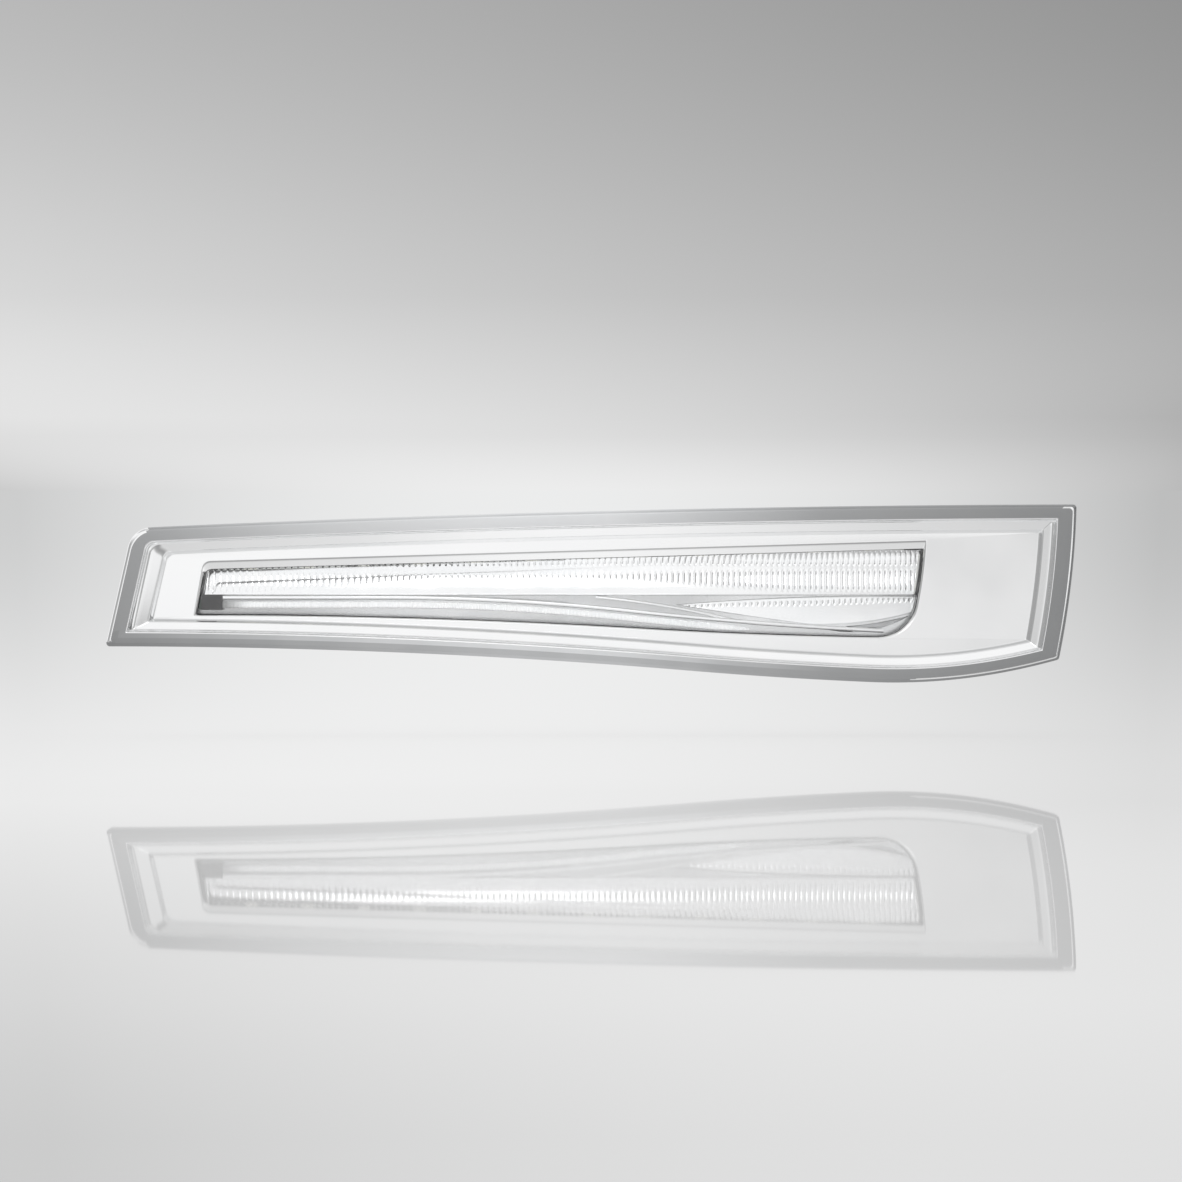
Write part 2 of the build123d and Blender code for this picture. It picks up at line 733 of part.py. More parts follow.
with BuildPart() as sink_gasket:
    with BuildSketch(tilted(rear_wall_height - gasket_thickness, sink_x, (opening_low + opening_high) / 2)):
        Rectangle(opening_length + 2 * gasket_width, opening_height + 2 * gasket_width)
        Rectangle(opening_length, opening_height, mode=Mode.SUBTRACT)
    extrude(amount=gasket_thickness)

with BuildPart() as sink_screws:
    add(pan_screws(sink_screw_places, sink_back, sink_plate + gasket_thickness + rear_wall, tilted))

with BuildPart() as driver_board:
    with BuildSketch(upright(driver_back, driver_x, driver_z)):
        Rectangle(driver_length, board_thickness, align=(Align.CENTER, Align.MIN))
    extrude(amount=driver_width)

# Coil, two capacitors, a regulator and a transistor: place along the board, width, depth, height
driver_blocks = (
    (-20.0, 6.4, 6.4, 4.2),
    (-9.0, 5.0, 4.0, 4.8),
    (4.0, 6.0, 5.0, 1.5),
    (14.0, 4.0, 5.0, 1.5),
    (22.0, 5.0, 4.0, 4.8),
)
with BuildPart() as driver_parts:
    for shift, width, depth, tall in driver_blocks:
        with BuildSketch(upright(driver_back + (driver_width - depth) / 2, driver_x + shift, driver_top)):
            Rectangle(width, tall, align=(Align.CENTER, Align.MIN))
        extrude(amount=depth)

with BuildPart() as wall_ribs:
    rim_back = groove_floor - groove_base
    extrude(module_face(rear_wall_height, housing_rim - rib_setback), amount=rim_back - rear_wall_height)
    with BuildSketch(forward(rear_wall_height)):
        with Locations((board_middle, 0)):
            with GridLocations(sink_length / rib_count, 0, rib_count, 1):
                Rectangle(rib_thickness, face_length)
    extrude(amount=rim_back - rear_wall_height, mode=Mode.INTERSECT)

with BuildPart() as board_seats:
    extrude(module_face(cavity_back, housing_outer - fit_clearance), amount=driver_width)
    with BuildSketch(upright(cavity_back, driver_x, driver_z)):
        with GridLocations(driver_length / 2 - seat_inset, 0, 3, 1):
            Rectangle(seat_thickness, left_height, align=(Align.CENTER, Align.MAX))
    extrude(amount=driver_width, mode=Mode.INTERSECT)

with BuildPart() as rear_housing:
    extrude(module_face(rear_wall_height, housing_outer), amount=housing_front - rear_wall_height)
    extrude(module_face(rim_back, housing_rim), amount=housing_front - rim_back)
    add(wall_ribs.part)
    with BuildSketch(forward(tab_back)):
        edge = boss_radius + tab_margin
        with Locations(left_screws[0]):
            Rectangle(window_left - left_screws[0][0] + edge, 2 * edge, align=(Align.MIN, Align.CENTER))
            Circle(edge)
        with BuildLine():
            (upper_x, upper_z), (lower_x, lower_z) = right_screws
            reach = window_right - window_right_lean
            Polyline(
                (reach, upper_z + edge),
                (upper_x + edge, upper_z + edge),
                (lower_x + edge, lower_z - edge),
                (reach, lower_z - edge),
                close=True,
            )
        make_face()
    extrude(amount=tab_thickness)
    with BuildSketch(forward(0)):
        with Locations(*fixing_places):
            Circle(tower_radius)
    extrude(amount=tab_front)
    with BuildSketch(forward(-locating_pin_length)):
        with Locations((0, locating_pin_z)):
            Circle(locating_pin_radius)
    extrude(amount=locating_pin_length + rear_wall_height)
    with BuildSketch(forward(rear_wall_height - vent_boss)):
        with Locations((vent_x, vent_z)):
            Circle(vent_boss_radius)
    extrude(amount=vent_boss)
    with BuildSketch(forward(gusset_setback)):
        with Locations((window_right, 0)):
            Rectangle(fixing_x - window_right, gusset_thickness, align=(Align.MIN, Align.CENTER))
    extrude(amount=tab_front - gusset_setback)
    cavity_depth = housing_front - cavity_back
    extrude(module_face(cavity_back, cavity_clearance), amount=cavity_depth, mode=Mode.SUBTRACT)
    add(board_seats.part)
    extrude(module_face(groove_floor, groove_outer), amount=housing_front - groove_floor, mode=Mode.SUBTRACT)
    with BuildSketch(forward(groove_floor)):
        add(module_face(groove_floor, groove_inner))
        add(module_face(groove_floor, cavity_clearance), mode=Mode.SUBTRACT)
    extrude(amount=housing_front - groove_floor)
    with BuildSketch(tilted(rear_wall_height, sink_x, (opening_low + opening_high) / 2)):
        Rectangle(opening_length, opening_height)
    extrude(amount=rear_wall, mode=Mode.SUBTRACT)
    for x, z in sink_screw_places:
        with BuildSketch(tilted(rear_wall_height, x, z)):
            Circle(screw_radius)
        extrude(amount=rear_wall, mode=Mode.SUBTRACT)
    with BuildSketch(forward(0)):
        with Locations(*fixing_places):
            Circle(insert_radius)
    extrude(amount=insert_length, mode=Mode.SUBTRACT)
    with BuildSketch(forward(tab_back)):
        with Locations(*frame_screw_places):
            Circle(screw_radius + screw_clearance)
    extrude(amount=tab_thickness, mode=Mode.SUBTRACT)
    with BuildSketch(forward(rear_wall_height - vent_boss)):
        with Locations((vent_x, vent_z)):
            Circle(vent_hole_radius)
    extrude(amount=vent_boss + rear_wall, mode=Mode.SUBTRACT)
    with BuildSketch(forward(rear_wall_height)):
        with Locations((socket_x, socket_z)):
            Rectangle(pin_pitch + pin_width + 2 * pin_room, pin_thickness + 2 * pin_room)
    extrude(amount=rear_wall, mode=Mode.SUBTRACT)

with BuildPart() as connector_socket:
    mouth = rear_wall_height - socket_depth
    with BuildSketch(forward(rear_wall_height - socket_flange)):
        with Locations((socket_x, socket_z)):
            lap = 2 * socket_flange
            RectangleRounded(socket_length + lap, socket_width + lap, socket_flange)
    extrude(amount=socket_flange)
    with BuildSketch(forward(mouth)):
        with Locations((socket_x, socket_z)):
            RectangleRounded(socket_length, socket_width, socket_radius)
    extrude(amount=socket_depth)
    with BuildSketch(forward(mouth)):
        with Locations((socket_x, socket_z)):
            Rectangle(socket_length - 2 * socket_wall, socket_width - 2 * socket_wall)
    extrude(amount=socket_depth - socket_floor, mode=Mode.SUBTRACT)
    with BuildSketch(forward(rear_wall_height - socket_floor)):
        with Locations(*pin_places):
            Rectangle(pin_width, pin_thickness)
    extrude(amount=socket_floor, mode=Mode.SUBTRACT)

with BuildPart() as connector_pins:
    with BuildSketch(forward(rear_wall_height - socket_floor - pin_reach)):
        with Locations(*pin_places):
            Rectangle(pin_width, pin_thickness)
    extrude(amount=socket_floor + pin_reach + pin_tail)

with BuildPart() as vent_cap:
    with BuildSketch(forward(rear_wall_height - vent_boss - vent_cap_thickness)):
        with Locations((vent_x, vent_z)):
            Circle(vent_boss_radius + vent_cap_lip)
    extrude(amount=vent_cap_thickness)

with BuildPart() as thread_inserts:
    with BuildSketch(forward(0)):
        with Locations(*fixing_places):
            Circle(insert_radius)
            Circle(insert_bore_radius, mode=Mode.SUBTRACT)
    extrude(amount=insert_length)

with BuildPart() as frame_screws:
    add(pan_screws(frame_screw_places, tab_back, tab_thickness + screw_bite, upright))

pieces = {
    "trim_frame": trim_frame,
    "rim_seal": rim_seal,
    "outer_lens": outer_lens,
    "lens_seal": lens_seal,
    "upper_reflector": upper_reflector,
    "lower_reflector": lower_reflector,
    "inner_bezel": inner_bezel,
    "divider_blade": divider_blade,
    "light_guide": light_guide,
    "guide_holder": guide_holder,
    "guide_board": guide_board,
    "guide_diode": guide_diode,
    "diode_board": diode_board,
    "light_diodes": light_diodes,
    "thermal_pad": thermal_pad,
    "heat_sink": heat_sink,
    "sink_gasket": sink_gasket,
    "sink_screws": sink_screws,
    "driver_board": driver_board,
    "driver_parts": driver_parts,
    "rear_housing": rear_housing,
    "connector_socket": connector_socket,
    "connector_pins": connector_pins,
    "vent_cap": vent_cap,
    "thread_inserts": thread_inserts,
    "frame_screws": frame_screws,
}
for name, piece in pieces.items():
    piece.part.label = name
    export_step(piece.part, f"parts/{name}.step")
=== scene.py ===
import math

import bpy
import numpy as np
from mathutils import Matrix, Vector


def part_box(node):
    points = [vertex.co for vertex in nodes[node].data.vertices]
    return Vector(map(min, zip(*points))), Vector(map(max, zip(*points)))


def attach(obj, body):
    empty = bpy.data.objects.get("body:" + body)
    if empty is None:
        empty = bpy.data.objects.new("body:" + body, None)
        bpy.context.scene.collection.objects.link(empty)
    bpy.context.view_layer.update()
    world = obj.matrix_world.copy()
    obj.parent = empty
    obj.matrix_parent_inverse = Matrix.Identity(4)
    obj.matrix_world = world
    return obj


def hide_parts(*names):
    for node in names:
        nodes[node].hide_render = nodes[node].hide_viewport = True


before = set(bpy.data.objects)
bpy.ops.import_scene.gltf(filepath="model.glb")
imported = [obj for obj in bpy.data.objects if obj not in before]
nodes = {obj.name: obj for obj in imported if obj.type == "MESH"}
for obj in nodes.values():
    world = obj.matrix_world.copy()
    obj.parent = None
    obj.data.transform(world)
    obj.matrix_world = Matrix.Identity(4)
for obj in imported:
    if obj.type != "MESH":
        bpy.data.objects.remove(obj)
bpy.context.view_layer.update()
mm = 0.001
print("frame loaded:", len(nodes), "nodes")


# Stage: camera, floor, studio light

cameraSetup = {
    "imageWidth": 334.5,  # millimetres of the face plane that the picture shows
    "distance": 2200.0,  # from the face plane
    "height": 28.3,  # eye level
    "middle": -0.3,  # height at the middle of the picture
    "sensor": 36.0,
    "reach": 2000.0,  # metres that it can see
}


def makeCamera(setup):
    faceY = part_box("trim_frame")[0].y
    data = bpy.data.cameras.new("studioCamera")
    data.sensor_width = setup["sensor"]
    data.lens = setup["sensor"] * setup["distance"] / setup["imageWidth"]
    data.clip_end = setup["reach"]
    camera = bpy.data.objects.new("studioCamera", data)
    bpy.context.scene.collection.objects.link(camera)
    camera.location = (0, faceY - setup["distance"] * mm, setup["height"] * mm)
    target = Vector((0, faceY, setup["middle"] * mm))
    camera.rotation_euler = (target - camera.location).to_track_quat("-Z", "Y").to_euler()
    bpy.context.scene.camera = camera


def addNode(tree, kind, place=(0, 0), **values):
    node = tree.nodes.new(kind)
    node.location = place
    for name, value in values.items():
        setattr(node, name, value)
    return node


def setRamp(node, stops):
    ramp = node.color_ramp
    while len(ramp.elements) < len(stops):
        ramp.elements.new(0.5)
    for element, (position, value) in zip(ramp.elements, stops):
        element.position = position
        element.color = (value, value, value, 1)


worldSetup = {
    "back": [(0.0, 0.865), (0.11, 0.72), (0.4, 0.565), (1.0, 0.358)],  # from the horizon upwards
    "backTop": 0.0626,  # the picture's top, as a direction
    "halfWidth": 0.0735,  # half of the picture, as a direction
    "sideReach": 1.2,  # halves of the picture over which the back changes sideways
    "fall": (0.06, 0.23),  # how far the back darkens to the right, at the horizon and above
    "fallTop": 0.15,  # share of the back's height where the second is reached
    "bow": 0.33,  # and to both sides along the horizon
    "bowPower": 6.0,  # how soon that ends above the horizon
    "around": [
        (0.0, 0.36), (0.15, 0.45), (0.26, 0.7), (0.34, 1.0), (0.511, 1.0), (0.522, 0.64),
        (0.542, 0.64), (0.562, 1.0), (0.66, 0.98), (0.76, 0.5), (0.88, 0.25), (1.0, 0.16),
    ],  # what surfaces see from left to right: boxes with a gap
    "above": [(0.6, 0.98), (0.72, 0.98), (0.8, 0.55), (0.9, 0.55), (0.97, 0.98)],  # high up, with a gap too
    "aboveFrom": (0.35, 0.6),  # heights, as directions, between which one turns into the other
    "behind": 0.98,  # and behind the lamp
    "behindFrom": (0.1, 0.5),
}


def linkMath(tree, operation, a, b, place):
    node = addNode(tree, "ShaderNodeMath", place, operation=operation)
    for socket, value in zip(node.inputs, (a, b)):
        if isinstance(value, (int, float)):
            socket.default_value = value
        else:
            tree.links.new(value, socket)
    return node.outputs[0]


def linkRamp(tree, stops, value, place, blend="LINEAR"):
    node = addNode(tree, "ShaderNodeValToRGB", place)
    setRamp(node, stops)
    node.color_ramp.interpolation = blend
    tree.links.new(value, node.inputs["Fac"])
    return node.outputs["Color"]


def linkMix(tree, a, b, factor, place):
    node = addNode(tree, "ShaderNodeMix", place, data_type="RGBA")
    for name, value in (("A", a), ("B", b), ("Factor", factor)):
        socket = node.inputs[name]
        if isinstance(value, tuple):
            socket.default_value = (*value, 1)
        else:
            tree.links.new(value, socket)
    return node.outputs["Result"]


def linkRange(tree, value, low, high, place, outLow=0.0, outHigh=1.0):
    node = addNode(tree, "ShaderNodeMapRange", place)
    for name, number in (("From Min", low), ("From Max", high), ("To Min", outLow), ("To Max", outHigh)):
        node.inputs[name].default_value = number
    tree.links.new(value, node.inputs["Value"])
    return node.outputs["Result"]


# Share of the tone that is left towards the sides, by the place across the picture
def linkSpread(tree, across, fall, bow, place):
    x, y = place
    line = linkMath(tree, "MULTIPLY", across, fall, (x, y))
    square = linkMath(tree, "MULTIPLY", across, across, (x, y - 160))
    curve = linkMath(tree, "MULTIPLY", square, bow, (x + 180, y - 160))
    rest = linkMath(tree, "SUBTRACT", 1.0, line, (x + 180, y))
    return linkMath(tree, "SUBTRACT", rest, curve, (x + 360, y))


def linkScale(tree, colour, share, place):
    node = addNode(tree, "ShaderNodeVectorMath", place, operation="SCALE")
    tree.links.new(colour, node.inputs[0])
    tree.links.new(share, node.inputs["Scale"])
    return node.outputs[0]


def makeWorld(setup):
    world = bpy.data.worlds.new("studio")
    bpy.context.scene.world = world
    world.use_nodes = True
    tree = world.node_tree
    tree.nodes.clear()
    coordinate = addNode(tree, "ShaderNodeTexCoord", (-1700, 0))
    split = addNode(tree, "ShaderNodeSeparateXYZ", (-1500, 0))
    light = addNode(tree, "ShaderNodeLightPath", (-350, 600))
    tree.links.new(coordinate.outputs["Generated"], split.inputs[0])
    x, y, z = split.outputs
    rise = linkRange(tree, z, 0.0, setup["backTop"], (-1300, 400))
    wide = setup["halfWidth"]
    side = setup["sideReach"]
    across = linkRange(tree, x, -side * wide, side * wide, (-1300, 150), -side, side)
    low = linkMath(tree, "SUBTRACT", 1.0, rise, (-1100, 250))
    near = linkMath(tree, "POWER", low, setup["bowPower"], (-920, 250))
    bow = linkMath(tree, "MULTIPLY", near, setup["bow"], (-740, 250))
    fall = linkRange(tree, rise, 0.0, setup["fallTop"], (-1100, 60), *setup["fall"])
    back = linkRamp(tree, setup["back"], rise, (-740, 480), "B_SPLINE")
    graded = linkScale(tree, back, linkSpread(tree, across, fall, bow, (-900, 60)), (-350, 350))
    sides = linkRamp(tree, setup["around"], linkRange(tree, x, -1.0, 1.0, (-950, -350)), (-740, -400))
    above = linkRamp(tree, setup["above"], z, (-740, -650))
    height = linkRange(tree, z, *setup["aboveFrom"], (-740, -160))
    high = linkMix(tree, sides, above, height, (-450, -400))
    rear = linkRange(tree, y, *setup["behindFrom"], (-450, -650))
    plain = linkMix(tree, high, (setup["behind"],) * 3, rear, (-250, -250))
    around = linkMix(tree, plain, graded, light.outputs["Is Camera Ray"], (0, 200))
    shine = addNode(tree, "ShaderNodeBackground", (400, 0))
    out = addNode(tree, "ShaderNodeOutputWorld", (600, 0))
    tree.links.new(around, shine.inputs["Color"])
    tree.links.new(shine.outputs[0], out.inputs["Surface"])


floorSetup = {
    "z": -41.9,  # millimetres, the plane that mirrors the lamp
    "width": 600.0,  # metres, as what follows; its far edge meets the horizon
    "front": -1.5,
    "back": 900.0,
    "colour": (0.86, 0.865, 0.87),
    "glow": [(0.0, 0.66), (0.16, 0.79), (0.42, 0.88), (1.0, 0.95)],  # from the camera to below the lamp
    "glowReach": (-1.4, 0.0),
    "matt": 0.2,  # share of the tone that takes the lamp's shadow
    "mirror": 0.4,
    "roughness": 0.015,
    "fall": (-0.22, 0.12),  # how far it darkens to the right, near the camera and below the lamp
    "fallReach": (-1.4, -0.5),
    "bow": 0.13,  # and to both sides
    "shine": [
        (0.0, 0.66), (0.25, 0.8), (0.4, 0.98), (0.55, 0.98), (0.75, 0.78), (1.0, 0.66),
    ],  # pool below the lamp, which only the lamp mirrors
    "shineHalf": 0.14,
    "strip": [(0.0, 0.98), (0.72, 0.98), (0.78, 0.5), (0.867, 0.42), (0.913, 1.0)],  # dark strip before it
    "ahead": 0.98,  # and the floor ahead of both
    "aheadReach": (-0.6, -0.4),
    "nearest": 0.5,  # least distance from the eye that counts
    "fade": (0.62, 0.012),  # one over distance: from here on the floor melts into the backdrop
    "horizon": (0.835, 0.84, 0.84),
}


def makeFloor(setup):
    half = setup["width"] / 2
    z = setup["z"] * mm
    front, back = setup["front"], setup["back"]
    mesh = bpy.data.meshes.new("studioFloor")
    corners = [(-half, front, z), (half, front, z), (half, back, z), (-half, back, z)]
    mesh.from_pydata(corners, [], [(0, 1, 2, 3)])
    floor = bpy.data.objects.new("studioFloor", mesh)
    bpy.context.scene.collection.objects.link(floor)
    material = bpy.data.materials.new("paleFloor")
    material.use_nodes = True
    tree = material.node_tree
    tree.nodes.clear()

    def mixShader(first, second, factor, place):
        node = addNode(tree, "ShaderNodeMixShader", place)
        tree.links.new(first, node.inputs[1])
        tree.links.new(second, node.inputs[2])
        if isinstance(factor, float):
            node.inputs["Fac"].default_value = factor
        else:
            tree.links.new(factor, node.inputs["Fac"])
        return node.outputs[0]

    def glow(colour, place):
        node = addNode(tree, "ShaderNodeEmission", place)
        tree.links.new(colour, node.inputs["Color"])
        return node.outputs[0]

    matt = addNode(tree, "ShaderNodeBsdfDiffuse", (-700, 100))
    matt.inputs["Color"].default_value = (*setup["colour"], 1)
    gloss = addNode(tree, "ShaderNodeBsdfGlossy", (-700, -100))
    gloss.inputs["Roughness"].default_value = setup["roughness"]
    rays = addNode(tree, "ShaderNodeLightPath", (-300, 500)).outputs
    place = addNode(tree, "ShaderNodeTexCoord", (-1900, -200))
    split = addNode(tree, "ShaderNodeSeparateXYZ", (-1700, -200))
    tree.links.new(place.outputs["Object"], split.inputs[0])
    x, y, _ = split.outputs
    distance = linkMath(tree, "ADD", y, cameraSetup["distance"] * mm, (-1500, -300))
    reach = linkMath(tree, "MAXIMUM", distance, setup["nearest"], (-1320, -300))
    nearness = linkMath(tree, "DIVIDE", 1.0, reach, (-1140, -300))
    fade = addNode(tree, "ShaderNodeMapRange", (-950, -350), interpolation_type="SMOOTHSTEP")
    fade.inputs["From Min"].default_value, fade.inputs["From Max"].default_value = setup["fade"]
    tree.links.new(nearness, fade.inputs["Value"])
    wide = linkMath(tree, "MULTIPLY", x, nearness, (-1140, -550))
    limit = worldSetup["halfWidth"]
    across = linkRange(tree, wide, -limit, limit, (-950, -650), -1.0, 1.0)
    spread = linkSpread(tree, across, worldSetup["fall"][0], worldSetup["bow"], (-760, -650))
    depth = linkRange(tree, y, *setup["glowReach"], (-1140, 350))
    even = linkRamp(tree, setup["glow"], depth, (-950, 350))
    fall = linkRange(tree, y, *setup["fallReach"], (-1400, 150), *setup["fall"])
    tone = linkScale(tree, even, linkSpread(tree, across, fall, setup["bow"], (-1200, 150)), (-760, 350))
    edge = addNode(tree, "ShaderNodeRGB", (-500, -450))
    edge.outputs[0].default_value = (*setup["horizon"], 1)
    far = glow(linkScale(tree, edge.outputs[0], spread, (-200, -550)), (0, -500))
    toned = mixShader(glow(tone, (-650, 300)), matt.outputs[0], setup["matt"], (-450, 200))
    shiny = mixShader(toned, gloss.outputs[0], setup["mirror"], (-250, 100))
    whole = mixShader(shiny, far, fade.outputs["Result"], (200, 50))
    under = linkRange(tree, x, -setup["shineHalf"], setup["shineHalf"], (-300, 700))
    pool = linkRamp(tree, setup["shine"], under, (-100, 700), "B_SPLINE")
    strip = linkRamp(tree, setup["strip"], linkRange(tree, y, front, 0.0, (-500, 950)), (-300, 950))
    ahead = linkRange(tree, y, *setup["aheadReach"], (-100, 1100))
    dimmed = linkScale(tree, pool, strip, (100, 850))
    sheen = linkMix(tree, (setup["ahead"],) * 3, dimmed, ahead, (250, 950))
    through = linkMath(tree, "MAXIMUM", rays["Is Glossy Ray"], rays["Is Transmission Ray"], (0, 450))
    other = mixShader(matt.outputs[0], glow(sheen, (400, 700)), through, (400, 250))
    seen = mixShader(other, whole, rays["Is Camera Ray"], (600, 0))
    out = addNode(tree, "ShaderNodeOutputMaterial", (800, 0))
    tree.links.new(seen, out.inputs["Surface"])
    mesh.materials.append(material)


lampSetup = {
    "front": {
        "place": (-0.03, -0.4, 0.1),
        "aim": (-0.03, 0.0, 0.0),
        "size": (0.12, 0.05),
        "power": 0.04,
        "diffuse": 0.3,
    },
}


def makeLamps(setup):
    for name, lamp in setup.items():
        data = bpy.data.lights.new(name + "Softbox", "AREA")
        data.shape = "RECTANGLE"
        data.size, data.size_y = lamp["size"]
        data.energy = lamp["power"]
        data.diffuse_factor = lamp["diffuse"]
        box = bpy.data.objects.new(name + "Softbox", data)
        bpy.context.scene.collection.objects.link(box)
        box.location = lamp["place"]
        aim = Vector(lamp["aim"]) - Vector(lamp["place"])
        box.rotation_euler = aim.to_track_quat("-Z", "Y").to_euler()


makeCamera(cameraSetup)
makeFloor(floorSetup)
makeWorld(worldSetup)
makeLamps(lampSetup)
print("stage ready")


# Outlines of the face and its window, in millimetres

faceShape = {
    "left": -137.5,
    "right": 137.5,
    "leftLean": 7.6,
    "rightLean": 5.0,
    "topBow": 1.5,
    "rightBow": 1.0,
    "top": (17.5, 24.2),
    "bottom": (-16.0, -19.7),
    "knee": (28.1, -22.9),
    "belly": (79.0, -26.1),
}
windowShape = {
    "left": -112.7,
    "right": 95.1,
    "leftLean": 2.7,
    "rightLean": 4.6,
    "topBow": 0.0,
    "rightBow": 0.8,
    "top": (7.8, 13.7),
    "bottom": (-7.5, -14.0),
    "knee": (14.1, -11.3),
    "belly": (76.0, -13.7),
}
outerRadii = (7.1, 1.0, 1.0, 1.0)  # upper left, upper right, lower right, lower left
innerRadii = (2.8, 0.25, 0.25, 0.25)
windowRadii = (2.5, 0.25, 11.5, 0.25)
sideSteps = {"top": 130, "right": 36, "bottom": 150, "left": 28, "corner": 9}
cornerRounds = 8  # rounds that find where two sides meet
probeShare = 0.02  # parts of a side over which its direction is taken
nudgeShare = 0.004


def leftAt(shape, z):
    low, high = shape["bottom"][0], shape["top"][0]
    return shape["left"] + shape["leftLean"] * (z - low) / (high - low)


def rightAt(shape, z):
    high, low = shape["top"][1], shape["bottom"][1]
    share = (high - z) / (high - low)
    return shape["right"] - shape["rightLean"] * share + 4 * shape["rightBow"] * share * (1 - share)


def topAt(shape, x):
    start = shape["left"] + shape["leftLean"]
    share = (x - start) / (shape["right"] - start)
    chord = shape["top"][0] + (shape["top"][1] - shape["top"][0]) * share
    return chord + 4 * shape["topBow"] * share * (1 - share)


def bottomAt(shape, x):
    kneeX, kneeZ = shape["knee"]
    bellyX, bellyZ = shape["belly"]
    kneeSlope = 2 * (kneeZ - shape["bottom"][0]) / (kneeX - shape["left"])
    if x < kneeX:
        share = max(x - shape["left"], 0) / (kneeX - shape["left"])
        return shape["bottom"][0] + (kneeZ - shape["bottom"][0]) * share**2
    run = bellyX - kneeX
    bend = ((bellyZ - kneeZ) / run - kneeSlope) / run
    if x < bellyX:
        return kneeZ + kneeSlope * (x - kneeX) + bend * (x - kneeX) ** 2
    bellySlope = kneeSlope + 2 * bend * run
    reach = shape["right"] - shape["rightLean"] - bellyX
    bend = ((shape["bottom"][1] - bellyZ) / reach - bellySlope) / reach
    return bellyZ + bellySlope * (x - bellyX) + bend * (x - bellyX) ** 2


# Closed ring of points around a shape drawn in by the given amounts, clockwise from its upper left corner
def edgeRing(shape, insets, radii):
    top, bottom, left, right = insets
    upperLeft = upperRight = lowerRight = lowerLeft = np.zeros(2)
    for _ in range(cornerRounds):
        x = leftAt(shape, upperLeft[1]) + left
        upperLeft = np.array((x, topAt(shape, x) - top))
        x = rightAt(shape, upperRight[1]) - right
        upperRight = np.array((x, topAt(shape, x) - top))
        x = rightAt(shape, lowerRight[1]) - right
        lowerRight = np.array((x, bottomAt(shape, x) + bottom))
        x = leftAt(shape, lowerLeft[1]) + left
        lowerLeft = np.array((x, bottomAt(shape, x) + bottom))

    def along(name, share):
        if name == "top":
            x = upperLeft[0] + (upperRight[0] - upperLeft[0]) * share
            return np.array((x, topAt(shape, x) - top))
        if name == "bottom":
            x = lowerRight[0] + (lowerLeft[0] - lowerRight[0]) * share
            return np.array((x, bottomAt(shape, x) + bottom))
        if name == "right":
            z = upperRight[1] + (lowerRight[1] - upperRight[1]) * share
            return np.array((rightAt(shape, z) - right, z))
        z = lowerLeft[1] + (upperLeft[1] - lowerLeft[1]) * share
        return np.array((leftAt(shape, z) + left, z))

    names = ("top", "right", "bottom", "left")
    corners = {"top": upperLeft, "right": upperRight, "bottom": lowerRight, "left": lowerLeft}
    lengths = {}
    for number, name in enumerate(names):
        lengths[name] = np.linalg.norm(corners[name] - corners[names[(number + 1) % 4]])
    cuts, turns = {}, {}
    for number, name in enumerate(names):  # the corner before each side
        before = names[number - 1]
        inward = along(before, 1 - probeShare) - along(before, 1.0)
        outward = along(name, probeShare) - along(name, 0.0)
        cosine = inward @ outward / np.linalg.norm(inward) / np.linalg.norm(outward)
        angle = math.acos(max(-1.0, min(1.0, cosine)))
        turns[name] = math.pi - angle
        cuts[name] = radii[number] / math.tan(angle / 2)
    points = []
    for number, name in enumerate(names):
        before, after = names[number - 1], names[(number + 1) % 4]
        start = cuts[name] / lengths[name]
        end = 1 - cuts[after] / lengths[name]
        stop = 1 - cuts[name] / lengths[before]
        leave = along(before, stop)
        arrive = along(name, start)
        pull = 4 / 3 * math.tan(turns[name] / 4) * radii[number]
        comes = along(before, stop + nudgeShare) - leave
        goes = along(name, start - nudgeShare) - arrive
        first = leave + comes / np.linalg.norm(comes) * pull
        second = arrive + goes / np.linalg.norm(goes) * pull
        for step in range(1, sideSteps["corner"]):
            t = step / sideSteps["corner"]
            rest = 1 - t
            bend = 3 * rest**2 * t * first + 3 * rest * t**2 * second
            points.append(rest**3 * leave + bend + t**3 * arrive)
        for step in range(sideSteps[name] + 1):
            points.append(along(name, start + (end - start) * step / sideSteps[name]))
    return np.array(points)


# Mesh building

sharpAngle = 38.0  # degrees


